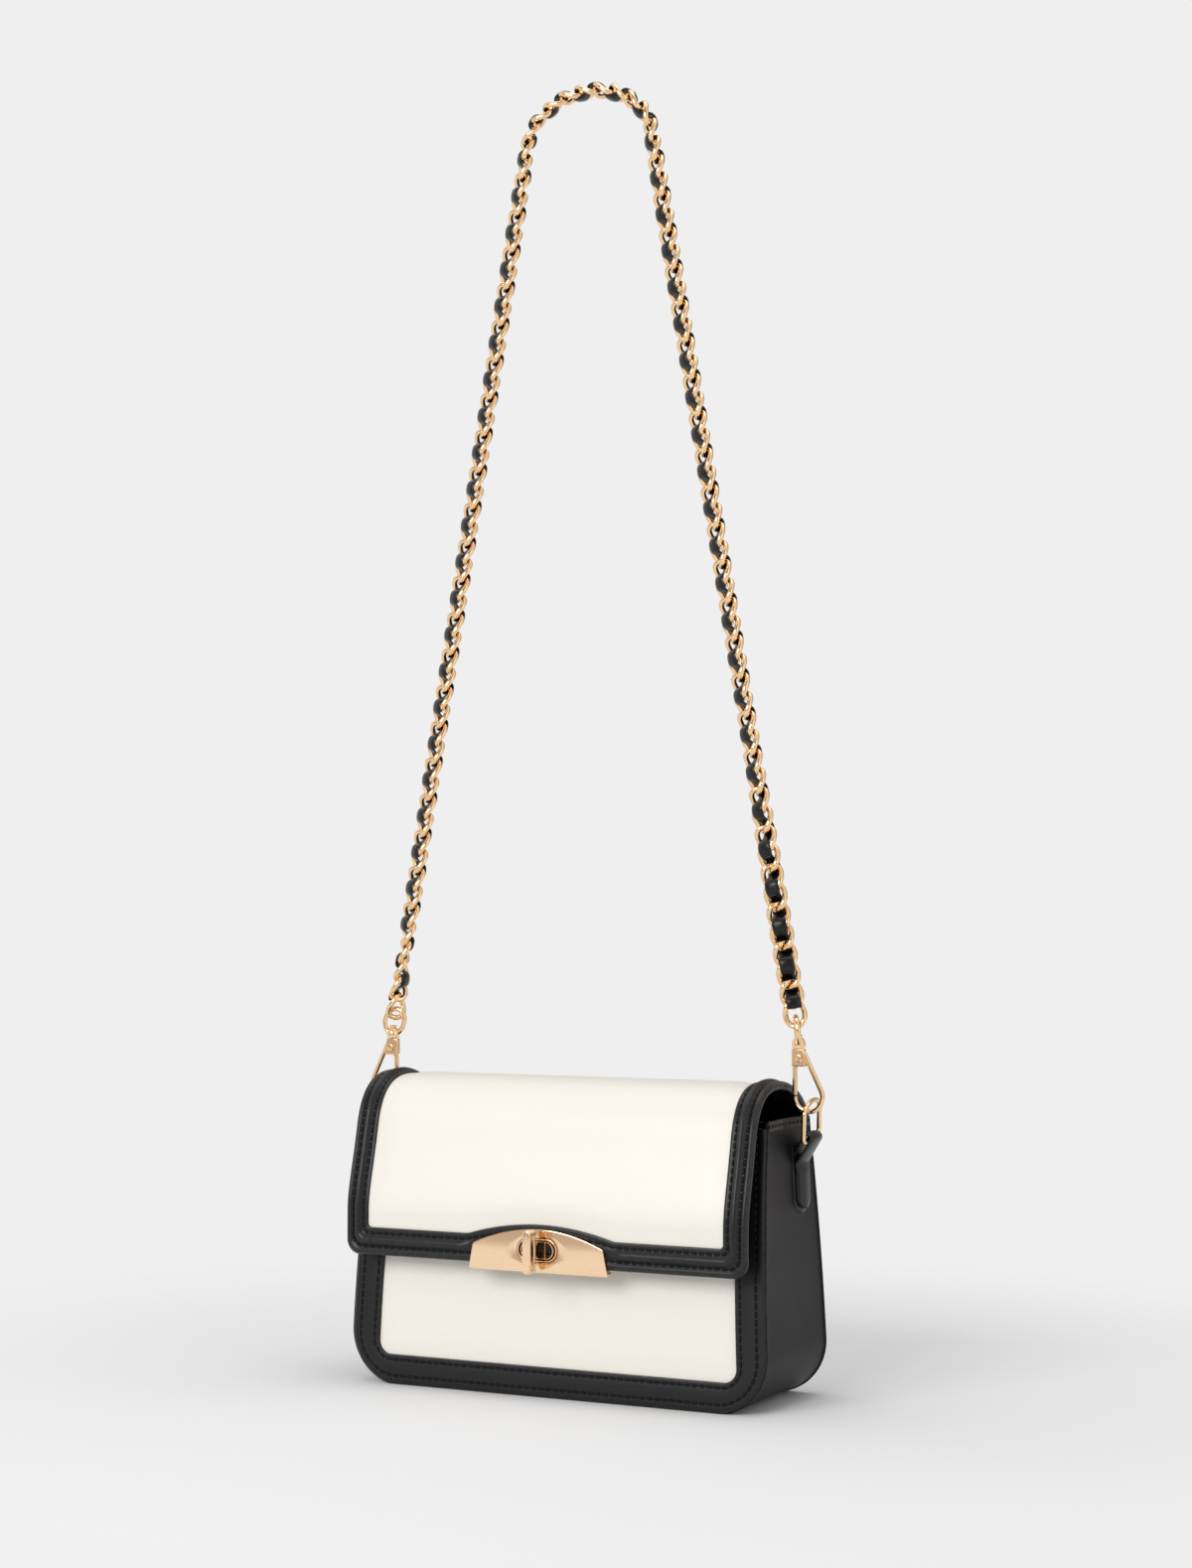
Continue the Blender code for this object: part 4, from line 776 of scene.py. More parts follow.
for label, at, top in (("front", front_at, FRONT_HEIGHT), ("back", back_at, SEAM_HEIGHT - 13 * MM)):
    outer = u_path(half_width, 0, CORNER, top)
    inner = u_path(lambda z: half_width(z) - BORDER_SIDE, BORDER_BOTTOM, OPENING_CORNER, top)
    swept_border(f"{label}_border_leather", at, outer, inner, BODY_BORDER)
    ply(f"{label}_panel_leather", at, lambda z: half_width(z) - PANEL_INSET, PANEL_FOOT, lambda x: top,
        PANEL_SUNK, PANEL_THICK, cream, PANEL_CROWN, body_opening, PANEL_SLOPE, 44)
    stitched(f"{label}_stitches", seam_rows(at, outer, inner, BODY_BORDER, BODY_HOLES))

# %% [markdown]
# ## Gusset
# One strip makes both sides and the bottom. At each seam its edge stands up as a thin painted lip,
# and between the lips the side falls in a little, because nothing stiffens it.
# %% Gusset
# Distance from the seam, height, painted highlight.
GUSSET_SECTION = [
    (0.9, -0.4, 0), (0.9, 0.25, 0.5), (1.15, 0.62, 1), (1.6, 0.66, 1), (1.95, 0.35, 0.6), (2.2, -0.02, 0),
    (3.0, -0.10, 0), (6.0, -0.15, 0), (12.0, -0.2, 0),
]
GUSSET_THICK = 1.6 * MM
GUSSET_DISH = 1.6 * MM


def side_dish(y, z):
    """How far the side has fallen in."""
    return GUSSET_DISH * ease((z - 20 * MM) / (70 * MM)) * ease(1 - abs(y) / (half_depth(max(z, 0)) - 3 * MM))


def on_gusset(sign, y, z, h):
    """A point on the dished side of the bag, h out from it."""
    return Vector((sign * (half_width(z) - side_dish(y, z) + h), y, z))


def gusset_ring(x, z, out_x, out_z):
    """One cross section of the gusset, from its front lip to its back lip and round behind."""
    deep = half_depth(max(z, 0))
    half = [(-deep + d * MM, h * MM) for d, h, _ in GUSSET_SECTION]
    behind = [(y, -GUSSET_THICK) for y in (deep - MM, 0, MM - deep)]
    ring = []
    for y, h in half + [(-y, h) for y, h in reversed(half)] + behind:
        rise = h - side_dish(y, z) * abs(out_x)
        ring.append(Vector((x + out_x * rise, y, max(z + out_z * rise, 0))))
    return ring


rim_line = u_path(half_width, 0, CORNER, BODY_HEIGHT)
rings = []
for k, (x, z) in enumerate(rim_line):
    before, after = rim_line[max(k - 1, 0)], rim_line[min(k + 1, len(rim_line) - 1)]
    ahead = Vector((after[0] - before[0], after[1] - before[1])).normalized()
    out_x, out_z = (copysign(1, x), 0) if z > CORNER else (ahead.y, -ahead.x)
    rings.append(gusset_ring(x, z, out_x, out_z))
# The lips' crests carry the painted highlight.
lip_rims = [highlit for _, _, highlit in GUSSET_SECTION]
gusset_leather = loft("gusset_leather", rings, gusset_hide)
if len(gusset_leather.data.vertices) == len(rings) * len(rings[0]):
    rimmed(gusset_leather, (lip_rims + lip_rims[::-1] + [0, 0, 0]) * len(rings))
print("gusset sections:", len(rings))

# %% [markdown]
# ## Gusset bindings
# A strip of thin leather is turned over each top edge of the gusset and held by one row of stitches.
# %% Bindings
# Distance out from the side and height over the body's top edge.
BINDING = [(0.0, -4.6), (0.75, -4.3), (0.85, -0.1), (0.45, 0.6), (-0.2, 0.8),
           (-1.6, 0.8), (-2.3, 0.5), (-2.5, -0.2), (-2.5, -4.6), (-1.7, -4.6)]
reach = half_depth(BODY_HEIGHT) - 2 * MM
for label, sign in SIDES:
    rings = []
    for y in spaced(-reach, reach, 16):
        shape = [(d * MM - side_dish(y, BODY_HEIGHT), BODY_HEIGHT + rise * MM) for d, rise in BINDING]
        rings.append([Vector((sign * (half_width(z) + out), y, z)) for out, z in shape])
    loft(f"gusset_binding_{label}_leather", rings, black)
    row = [on_gusset(sign, y, BODY_HEIGHT - 2 * MM, 0.75 * MM) for y in spaced(-reach + MM, reach - MM, 16)]
    stitched(f"gusset_stitches_{label}", [[(p, Vector((sign, 0, 0))) for p in row]])

# %% [markdown]
# ## Lining
# The pouch inside is sewn from thin cloth and stands against the boards, with a leather facing at
# its mouth. Each wall is one loop of points at a height, drawn up outside and down inside.
# %% Lining pouch
POUCH_CORNER = 5 * MM


def pouch_loop(z, inset):
    """A rounded rectangle at a height, moved in from the body's outside."""
    low = max(CORNER - z, 0)
    wide = half_width(z) - CORNER + sqrt(max(CORNER**2 - low**2, 0)) - inset
    deep = half_depth(z) - inset - 1.4 * MM
    loop = []
    for k, (a, b) in enumerate(((1, 1), (-1, 1), (-1, -1), (1, -1))):
        middle = (a * (wide - POUCH_CORNER), b * (deep - POUCH_CORNER))
        loop += arc(middle, POUCH_CORNER, 90 * k, 90 * k + 90, 5)
    return [Vector((x, y, z)) for x, y in loop]


wall_heights = spaced(4.2 * MM, SEAM_HEIGHT - 1 * MM, 24)
outside = [pouch_loop(z, 3.4 * MM) for z in wall_heights]
inside = [pouch_loop(z + 0.8 * MM, 4.3 * MM) for z in wall_heights]
loft("lining_cloth", outside + inside[::-1], lining_cloth)
facing_heights = spaced(SEAM_HEIGHT - 18 * MM, SEAM_HEIGHT + 0.4 * MM, 6)
facing = [pouch_loop(z, 4.35 * MM) for z in facing_heights] + [pouch_loop(SEAM_HEIGHT + 0.9 * MM, 4.7 * MM)]
facing += [pouch_loop(z, 5.1 * MM) for z in reversed(facing_heights)]
loft("mouth_facing", facing, black, closed=True)
print("facing rings:", len(facing))

# %% [markdown]
# ## Ring tabs
# A folded strip of leather holds each ring: a broad patch is sewn flat to the gusset, and a narrower
# padded strip lies on it, rolls over the ring's bar and goes back down behind itself.
# %% Tabs
RING_ACROSS = 122.12 * MM
RING_BAR = 133.2 * MM
RING_BACK = 12 * MM
RING_TIP = radians(12)
TAB_BACK = 13 * MM
TAB_FOOT = 95 * MM
STRIP_FOOT = TAB_FOOT + 2.4 * MM
TAB_NECK = 120.5 * MM
PATCH_HALF, STRIP_HALF = 8.6, 7.2
PAD_THICK, STRIP_LIFT = 1.9, 1.5
ROLL_RADIUS = 1.6 * MM
# The padded section: share of the half width, share of the thickness.
PAD = [(-1, 0), (-1.0, 0.45), (-0.88, 0.80), (-0.66, 0.86), (-0.5, 1.0), (0, 1.08), (0.5, 1.0), (0.66, 0.86),
       (0.88, 0.80), (1.0, 0.45), (1, 0)]


def pad_ring(sign, z, foot, half, lift, thick):
    """The section lying on the gusset, narrowing to a half circle at its foot."""
    past = min((z - foot) / (half * MM), 1)
    wide = half * MM * sqrt(max(1 - (1 - past) ** 2, 0.03))
    return [on_gusset(sign, TAB_BACK + a * wide, z, (lift + b * thick) * MM) for a, b in PAD]


for label, sign in SIDES:
    heights = spaced(TAB_FOOT, TAB_NECK + 9 * MM, 30)
    rings = [pad_ring(sign, z, TAB_FOOT, PATCH_HALF, -0.3, PAD_THICK) for z in heights]
    loft(f"tab_{label}_patch", rings, black)
    rings = []
    for z in spaced(STRIP_FOOT, TAB_NECK, 24):
        half = lerp(6.4, STRIP_HALF, ease((z - TAB_NECK + 6 * MM) / (6 * MM)))
        thick = lerp(2.5, PAD_THICK, ease((z - TAB_NECK + 5 * MM) / (5 * MM)))
        rings.append(pad_ring(sign, z, STRIP_FOOT, half, STRIP_LIFT, thick))
    neck = on_gusset(1, TAB_BACK, TAB_NECK, STRIP_LIFT * MM).x
    roll = zip(arc((RING_ACROSS, RING_BAR), ROLL_RADIUS, -44, 150, 22), spaced(-44, 150, 22))
    route = [(neck + 0.5 * MM, TAB_NECK + 1.0 * MM, -25)] + [(x, z, turn) for (x, z), turn in roll]
    route.append((neck - 0.6 * MM, TAB_NECK + 3.4 * MM, 150))
    for x, z, turn in route:
        out = Vector((sign * cos(radians(turn)), 0, sin(radians(turn))))
        skew = tan(RING_TIP) * 0.2 * ease((z - TAB_NECK) / (7 * MM))
        middle = Vector((sign * x, TAB_BACK, z))
        rings.append([middle + Vector((0, a, a * skew)) * STRIP_HALF * MM + out * (b * PAD_THICK * MM)
                      for a, b in PAD])
    loft(f"tab_{label}_strap", rings, black)
print("tab rings:", len(rings))

# %% [markdown]
# ## Flap
# The flap is the back panel carried on over the top and down the front. It bends at the back seam
# and again along the top edge, and we cut it into two zones.
# They meet where the flap is stiff. Border, cream and lining are made for each zone.
# %% Flap sizes and sections
FLAP_SIDE = 13 * MM
FLAP_FOOT = 14.5 * MM
FLAP_CORNER = 7.5 * MM
ZONE_SPLIT = 38 * MM
ZONE_START = -13 * MM
PLATE_HALF = 40 * MM
ARCH_HALF = 42.0 * MM
ARCH_RISE = 6.4 * MM
FOLD_AT = FLAP_LENGTH * 0.48
CREAM_HALF = FLAP_HALF - FLAP_SIDE + 2 * MM
LINING_HALF = FLAP_HALF - 3 * MM
# Distance from the outer edge, height and, where there is any, painted highlight and the bead's height.
FLAP_BORDER = [
    (13.0, 0.55), (13.0, 1.25, 0.3), (12.8, 1.80, 0.6), (12.3, 2.05, 0.2), (11.5, 2.10), (10.9, 1.95),
    (10.4, 1.80), (9.9, 1.95), (9.3, 2.1, 0, 0.35), (8.7, 2.2, 0, 0.95), (8.0, 2.2, 0.3, 1.45),
    (7.2, 2.2, 0.5, 1.65), (6.4, 2.2, 0.3, 1.45), (5.7, 2.2, 0, 0.9), (5.1, 2.1, 0, 0.3), (4.6, 1.9),
    (4.1, 1.78), (3.6, 1.9), (3.0, 2.35, 0, 0.1), (2.2, 2.6, 0.4, 0.15), (1.3, 2.45, 0.8, 0.1),
    (0.55, 1.9, 1), (0.12, 1.0, 1), (0.0, 0.1, 0.6), (0.2, -0.85, 0.4), (0.8, -1.5, 0.2), (1.7, -1.8),
    (4.0, -1.85), (4.2, -1.5), (4.2, -0.7),
]
FLAP_HOLES = ((10.4, 1.86), (4.1, 1.84))


def arch(x):
    """How far the border's inner edge rises over the lock's plate."""
    return ARCH_RISE * max(1 - (x / ARCH_HALF) ** 2, 0)


def flat_under_plate(x, s):
    """The bead lies flat where the plate covers it."""
    if s < FLAP_LENGTH - 25 * MM:
        return 1
    return ease((abs(x) - PLATE_HALF - 0.5 * MM) / (4 * MM))


def flap_opening(x, s):
    return min(FLAP_HALF - FLAP_SIDE - abs(x), FLAP_LENGTH - FLAP_FOOT - arch(x) - s)


def flap_plies(zone, start, lining_start, cream_end, lining_end, cream_rows, lining_rows):
    """The cream ply and the lining under it, of one zone."""
    ply(f"flap_{zone}_panel_leather", cover_at, lambda s: CREAM_HALF, start, cream_end, 0.75 * MM, 1.3 * MM,
        cream, 1.15 * MM, flap_opening, 12 * MM, cream_rows)
    ply(f"flap_{zone}_lining_leather", cover_at, lambda s: LINING_HALF, lining_start, lining_end, -0.75 * MM,
        0.85 * MM, black, 0, flap_opening, 12 * MM, lining_rows)


# %% Front zone of the flap
outer = u_path(lambda s: FLAP_HALF, FLAP_LENGTH, FLAP_CORNER, ZONE_SPLIT, down=1)
inner = u_path(lambda s: FLAP_HALF - FLAP_SIDE, FLAP_LENGTH - FLAP_FOOT, 2 * MM, ZONE_SPLIT, down=1)
inner = [(x, s - arch(x) if s > FLAP_LENGTH - FLAP_FOOT - MM else s) for x, s in inner]
swept_border("flap_front_border_leather", cover_at, outer, inner, FLAP_BORDER, flat_under_plate)
flap_plies("front", ZONE_SPLIT, ZONE_SPLIT, lambda x: FLAP_LENGTH - FLAP_FOOT + 2 * MM - arch(x),
           lambda x: FLAP_LENGTH - 3 * MM, 60, 60)
stitched("flap_front_stitches", seam_rows(cover_at, outer, inner, FLAP_BORDER, FLAP_HOLES))

# %% Rear zone of the flap
rows = []
for label, sign in SIDES:
    outer, inner = [], []
    for s in spaced(ZONE_START, ZONE_SPLIT, 26):
        edge = half_width(SEAM_HEIGHT + s) if s < 0 else FLAP_HALF
        width = lerp(BORDER_SIDE, FLAP_SIDE, ease((s - ZONE_START) / (13 * MM)))
        outer.append((sign * edge, s))
        inner.append((sign * (edge - width), s))
    swept_border(f"flap_top_border_{label}_leather", cover_at, outer, inner, FLAP_BORDER,
                 lambda x, s: ease((s - ZONE_START) / (26 * MM)))
    rows += seam_rows(cover_at, outer, inner, FLAP_BORDER, FLAP_HOLES)
flap_plies("top", ZONE_START, 2 * MM, lambda x: ZONE_SPLIT, lambda x: ZONE_SPLIT, 26, 20)
stitched("flap_top_stitches", rows)

# %% [markdown]
# ## Turn lock
# A cast plate with an arched top is clamped through the flap by a leaf behind it. In its oval window
# sits a dial, and through the dial goes the turning toggle.
# %% Lock plate's outline
LOCK_HEIGHT = 76.9 * MM
PLATE_LOW = 65.5 * MM
PLATE_HIGH = 87.4 * MM
PLATE_END = 13.4 * MM
PLATE_FLARE = 2.6 * MM
PLATE_FACE = -54.3 * MM
PLATE_REAR = -53.0 * MM
PLATE_CROWN = 0.3 * MM
WINDOW = (23.0 * MM, 12.1 * MM)


def filleted(corners, steps=5):
    """A closed outline through (x, z, radius) corners, each rounded by its radius."""
    outline = []
    for k, (x, z, radius) in enumerate(corners):
        here = Vector((x, z))
        if not radius:
            outline.append(here)
            continue
        back = (Vector(corners[k - 1][:2]) - here).normalized()
        on = (Vector(corners[(k + 1) % len(corners)][:2]) - here).normalized()
        half = back.angle(on) / 2
        middle = here + (back + on).normalized() * (radius / sin(half))
        first, last = [here + way * (radius / tan(half)) - middle for way in (back, on)]
        outline += [middle + first.lerp(last, t).normalized() * radius for t in spaced(0, 1, steps)]
    return outline


# Straight foot, ends that lean in and an arched top, with close points below and above the window.
stops = [x * MM for x in [-33, -28, -23, -19, -16] + spaced(-14, 14, 22) + [16, 19, 23, 28, 33]]
shoulder, end = PLATE_HALF - PLATE_FLARE, PLATE_LOW + PLATE_END
foot = [(x, PLATE_LOW, 0) for x in stops]
crest = [(x, end + (PLATE_HIGH - end) * (1 - (x / shoulder) ** 2), 0) for x in stops]
flank = [(PLATE_HALF - PLATE_FLARE * v * MM / PLATE_END, PLATE_LOW + v * MM, 0) for v in (3, 6, 9)]
corners = [(-PLATE_HALF, PLATE_LOW, 1.1 * MM)] + foot + [(PLATE_HALF, PLATE_LOW, 1.1 * MM)] + flank
corners += [(shoulder, end, 2.4 * MM)] + crest[::-1] + [(-shoulder, end, 2.4 * MM)]
PLATE_OUTLINE = filleted(corners + [(-x, z, 0) for x, z, _ in reversed(flank)])
print("outline points:", len(PLATE_OUTLINE))


# %% Lock plate
def plate_ring(y, drop):
    """The plate's outline drawn in by drop, at y."""
    ring = []
    for k, here in enumerate(PLATE_OUTLINE):
        ahead = (PLATE_OUTLINE[(k + 1) % len(PLATE_OUTLINE)] - PLATE_OUTLINE[k - 1]).normalized()
        ring.append(Vector((here.x - ahead.y * drop, y, here.y + ahead.x * drop)))
    return ring


def oval_radius(turn, wide, tall):
    """How far a stadium's outline is from its middle in a direction."""
    ax, az = abs(cos(turn)), abs(sin(turn))
    radius, reach = tall / 2, wide / 2 - tall / 2
    if az * reach >= radius * ax:
        return radius / az
    return reach * ax + sqrt(max(radius**2 - (reach * az) ** 2, 0))


def window_ring(y, grown):
    """The window's edge, grown by a width, met in the same directions as the outline's points."""
    ring = []
    for here in PLATE_OUTLINE:
        turn = atan2(here.y - LOCK_HEIGHT, here.x)
        r = oval_radius(turn, WINDOW[0] + 2 * grown, WINDOW[1] + 2 * grown)
        ring.append(Vector((r * cos(turn), y, LOCK_HEIGHT + r * sin(turn))))
    return ring


def crowned(ring):
    """Press the face's middle out, so that it mirrors the room above and the table below."""
    middle, half = (PLATE_LOW + PLATE_HIGH) / 2, (PLATE_HIGH - PLATE_LOW) / 2
    return [p - Vector((0, PLATE_CROWN * (1 - ((p.z - middle) / half) ** 2), 0)) for p in ring]


plate_rings = [plate_ring(PLATE_REAR, 0), plate_ring(PLATE_FACE + 0.35 * MM, 0)]
plate_rings += [crowned(plate_ring(PLATE_FACE + rise * MM, drop * MM))
                for rise, drop in ((0.1, 0.1), (0, 0.4))]
rim_ring, inner_ring = plate_ring(PLATE_FACE, 0.5 * MM), window_ring(PLATE_FACE, 0.5 * MM)
for share in spaced(0, 1, 4):
    plate_rings.append(crowned([a.lerp(b, share) for a, b in zip(rim_ring, inner_ring)]))
plate_rings.append(crowned(window_ring(PLATE_FACE + 0.1 * MM, 0.15 * MM)))
plate_rings += [window_ring(PLATE_FACE + 0.35 * MM, 0), window_ring(PLATE_REAR, 0)]
loft("lock_plate_front_cast", plate_rings, plate_gold, closed=True, sharp=35)
leaf_rings = [plate_ring(y * MM, drop * MM) for y, drop in ((-48.4, 1.5), (-47.6, 1.5), (-47.4, 1.8))]
loft("lock_plate_back_leaf", leaf_rings, gold)
print("plate rings:", len(plate_rings))


# %% Dial and toggle
def oval_solid(name, steps, surface, upright=False):
    """A stadium solid from (y, width, height) steps along its axis."""
    rings = []
    for y, wide, tall in steps:
        ring = []
        for t in around(88):
            r = oval_radius(t, wide * MM, tall * MM)
            a, b = r * cos(t), r * sin(t)
            a, b = (-b, a) if upright else (a, b)
            ring.append(Vector((a, y * MM, LOCK_HEIGHT + b)))
        rings.append(ring)
    return loft(name, rings, surface, sharp=50)


DIAL = [(-48.7, 22.6, 11.6), (-54.5, 22.6, 11.6), (-54.8, 22.3, 11.3), (-54.9, 21.8, 10.8),
        (-54.8, 21.2, 10.2), (-54.4, 20.9, 9.9), (-53.0, 20.6, 9.6), (-53.0, 19.2, 9.2),
        (-54.6, 19.0, 9.0), (-54.9, 18.6, 8.6), (-54.9, 18.0, 8.0), (-54.6, 17.6, 7.6), (-51.4, 17.2, 7.2)]
dial = oval_solid("lock_dial_oval", DIAL, plate_gold)
# Painted shade on the dial's sunken parts, behind the plate's face.
rimmed(dial, [ease((v.co.y / MM + 54.6) / 1.2) for v in dial.data.vertices], "hollow_shade")
for x in (-4.3, 4.3):
    flat = [(x - 0.5, -3.8), (x + 0.5, -3.8), (x + 0.5, 3.8), (x - 0.5, 3.8)]
    loft("lock_dial_rib", [[Vector((a * MM, y * MM, LOCK_HEIGHT + b * MM)) for a, b in flat]
                           for y in (-51.2, -54.7)], plate_gold)
KNOB = [(-59.3, 20.6, 3.0), (-59.4, 21.5, 3.9), (-59.8, 22.1, 4.5)]
KNOB += [(-60.2 - 0.35 * k, 22.2, 4.6) for k in range(16)]
KNOB += [(-66.0, 22.1, 4.5), (-66.4, 21.5, 3.9), (-66.5, 20.6, 3.0), (-66.5, 17.0, 1.0)]
knob = oval_solid("toggle_grip", KNOB, plate_gold, upright=True)
# The toggle's side grooves are pressed in, and the same amount, scaled, marks them for painted shade.
knob_shade = []
for corner in knob.data.vertices:
    rise = (corner.co.z - LOCK_HEIGHT) / (8.3 * MM)
    hollow = 0
    if abs(rise) < 1 and abs(corner.co.x) > 1.9 * MM:
        hollow = ease(2.2 - 2.2 * abs(corner.co.y + 62.8 * MM) / (2.1 * MM * (1 - rise**2)))
        corner.co.x -= copysign(0.7 * MM * hollow, corner.co.x)
    knob_shade.append(0.75 * hollow)
rimmed(knob, knob_shade, "hollow_shade")
turned("toggle_stem", [(-51.9, 2.0), (-43.8, 2.0), (-43.6, 1.8)], (0, 0, LOCK_HEIGHT), (0, 1, 0), gold)
oval_solid("toggle_web", [(-51.5, 7.2, 2.2), (-59.5, 7.2, 2.2)], gold, upright=True)
TAIL = [(-45.6, 10.8, 3.2), (-45.3, 11.0, 3.4), (-43.9, 11.0, 3.4), (-43.6, 10.8, 3.2)]
oval_solid("toggle_tail", TAIL, gold, upright=True)
print("hollowed points:", sum(1 for h in knob_shade if h))

# %% [markdown]
# ## Rings, hooks and eyes
# The hardware is bent from round wire and cast blocks. Wires are swept along their bend line, with
# rounded ends, and blocks get a small bevel, because a plated edge is never perfectly sharp.
# %% D rings
WIRE = 1.25 * MM
RING_HALF = 10.5 * MM
RING_TALL = 19.5 * MM
RING_ARC = 5.6 * MM
RING_BEND = 2.5 * MM
RING_LEAN = radians(6.5)
STRAP_BACK = 2 * MM
corner = arc((RING_HALF - RING_BEND, RING_BEND), RING_BEND, -90, 0, 8)
leg = RING_TALL - RING_ARC
loop = corner + [(RING_HALF, v) for v in spaced(RING_BEND, leg, 5)[1:-1]]
loop += [(RING_HALF * cos(t), leg + RING_ARC * sin(t)) for t in spaced(0, pi, 32)]
loop += [(-RING_HALF, v) for v in spaced(leg, RING_BEND, 5)[1:-1]] + [(-a, b) for a, b in reversed(corner)]
loop += [(a, 0) for a in spaced(-RING_HALF + RING_BEND, RING_HALF - RING_BEND, 6)[1:-1]]
for label, sign in SIDES:
    base = Vector((sign * RING_ACROSS, RING_BACK, RING_BAR))
    tall, deep = cos(RING_TIP), sin(RING_TIP)
    up = Vector((sign * sin(RING_LEAN), -cos(RING_LEAN) * deep, cos(RING_LEAN) * tall))
    back = Vector((0, tall, deep))
    points = [base + back * a + up * b for a, b in loop]
    tube(f"d_ring_{label}_wire", points, WIRE, gold, up.cross(back), closed=True)

# %% Hooks, gates and rivets
BOW = Vector((125.066, 154.625)) * MM
BOW_RADIUS = 7.5 * MM
SLANT = radians(26)
BLOCK_LOW, BLOCK_HIGH = 169.925 * MM, 178.725 * MM
BLOCK_INNER, BLOCK_SHOULDER = 116.4 * MM, 123.0 * MM
BLOCK_FLARE = 1.3 * MM
BLOCK_THICK = 3.4 * MM
GATE_ACROSS = 117.566 * MM
POST_ACROSS = 119.766 * MM
RIVET = Vector((120.566, 173.925)) * MM
BLOCK = [(BLOCK_INNER, BLOCK_LOW), (BLOCK_SHOULDER + BLOCK_FLARE, BLOCK_LOW), (BLOCK_SHOULDER, BLOCK_HIGH),
         (BLOCK_INNER, BLOCK_HIGH)]
POST = [(-1.5, 1.1), (6.2, 1.1), (6.2, 1.7), (6.4, 1.9), (6.8, 1.9), (7.1, 1.5), (7.2, 0.8)]
RIVET_HALF = [(1.8, 0.9), (1.8, 1.9), (2.0, 2.0), (2.4, 1.9), (2.6, 1.55), (2.55, 1.15), (2.25, 0.9),
              (2.25, 0.5)]
ALONG_Y, ALONG_Z = (0, 1, 0), (0, 0, 1)


def flat_solid(name, outline, sign, half):
    """A flat piece across the strap's middle, from an outline in X and Z."""
    ends = [[Vector((sign * x, STRAP_BACK + d, z)) for x, z in outline] for d in (-half, half)]
    return loft(name, ends, gold)


foot = BOW + Vector((cos(SLANT), sin(SLANT))) * BOW_RADIUS
top = BLOCK_HIGH - WIRE
head = Vector((foot.x - (top - foot.y) * tan(SLANT), top))
bend = [head.lerp(foot, t) for t in spaced(0, 1, 6)[:-1]] + arc(BOW, BOW_RADIUS, 26, -180, 36)
gate_low, gate_high = BOW.y + 0.7 * MM, BLOCK_LOW - 0.4 * MM
tongue = [(GATE_ACROSS + d * MM, gate_high - WIRE) for d in (-0.75, 0.75)] + arc(RIVET, 2.1 * MM, 0, 180, 12)
profile = [(-a, r) for a, r in reversed(RIVET_HALF)] + RIVET_HALF
for label, sign in SIDES:
    points = [(sign * x, STRAP_BACK, z) for x, z in bend]
    tube(f"hook_{label}_wire", points, WIRE, gold, ALONG_Y, tip=0.3 * MM)
    block = flat_solid(f"hook_{label}_block", BLOCK, sign, BLOCK_THICK / 2)
    round_off = block.modifiers.new("round", "BEVEL")
    round_off.width = 0.45 * MM
    round_off.segments = 3
    round_off.limit_method = "ANGLE"
    turned(f"hook_{label}_post", POST, (sign * POST_ACROSS, STRAP_BACK, BLOCK_HIGH), ALONG_Z, gold, sides=20)
    turned(f"rivet_{label}_turned", profile, (sign * RIVET.x, STRAP_BACK, RIVET.y), ALONG_Y, gold, sides=28)
    bar = [(sign * GATE_ACROSS, STRAP_BACK, z) for z in spaced(gate_low + 0.3 * MM, gate_high - 0.3 * MM, 4)]
    tube(f"gate_{label}_bar", bar, WIRE, gold, ALONG_Y, tip=0.3 * MM)
    flat_solid(f"gate_{label}_tongue", tongue, sign, 0.55 * MM)

# %% Swivel eyes
EYE_WIRE = 1.35 * MM
EYE_HALF = Vector((5.65, 6.9)) * MM
EYE_SEAT = 2.4 * MM
EYE_LEAN = radians(7)
EYE_TURN = {"left": radians(8), "right": radians(117)}
DOME = [(0, 2.9), (0.15, 3.25), (0.5, 3.4), (2.3, 3.4), (3.2, 3.25), (4.2, 2.85),
        (5.0, 2.3), (5.5, 1.6), (5.6, 1.2)]


def eye_up(sign):
    return Vector((-sign * sin(EYE_LEAN), 0, cos(EYE_LEAN)))


def eye_foot(sign):
    return Vector((sign * POST_ACROSS, STRAP_BACK, BLOCK_HIGH + EYE_SEAT))


for label, sign in SIDES:
    seat = (sign * POST_ACROSS, STRAP_BACK, BLOCK_HIGH + 0.3 * MM)
    turned(f"eye_collar_{label}", DOME, seat, ALONG_Z, gold)
    across = Vector((cos(EYE_TURN[label]), sin(EYE_TURN[label]), 0))
    up = eye_up(sign)
    middle = eye_foot(sign) + up * EYE_HALF.y
    loop = [middle + across * EYE_HALF.x * cos(t) + up * EYE_HALF.y * sin(t) for t in around(40)]
    tube(f"eye_ring_{label}", loop, EYE_WIRE, gold, across.cross(up), closed=True)

# %% [markdown]
# ## Chain
# A curb chain is one link, repeated. Each link is an oval of wire twisted so that it lies flat in
# its neighbours. Geometry Nodes bend the wire from two sines, give it thickness, and set one link at
# each point of the strap's line, turned along it.
# %% The strap's line
PITCH_WANTED = 10 * MM
STRAP_RISE = 463.5 * MM
CROWN_HALF = 37.6 * MM
CROWN_RISE = 30 * MM
# Turns about the line in degrees, left and right: at the eyes, along the legs, and how far they ease.
TWIST = (-15, -120)
LEG_TURN = (58, -55)
TWIST_RUN = (60 * MM, 150 * MM)
CROWN_SHARE = 0.2


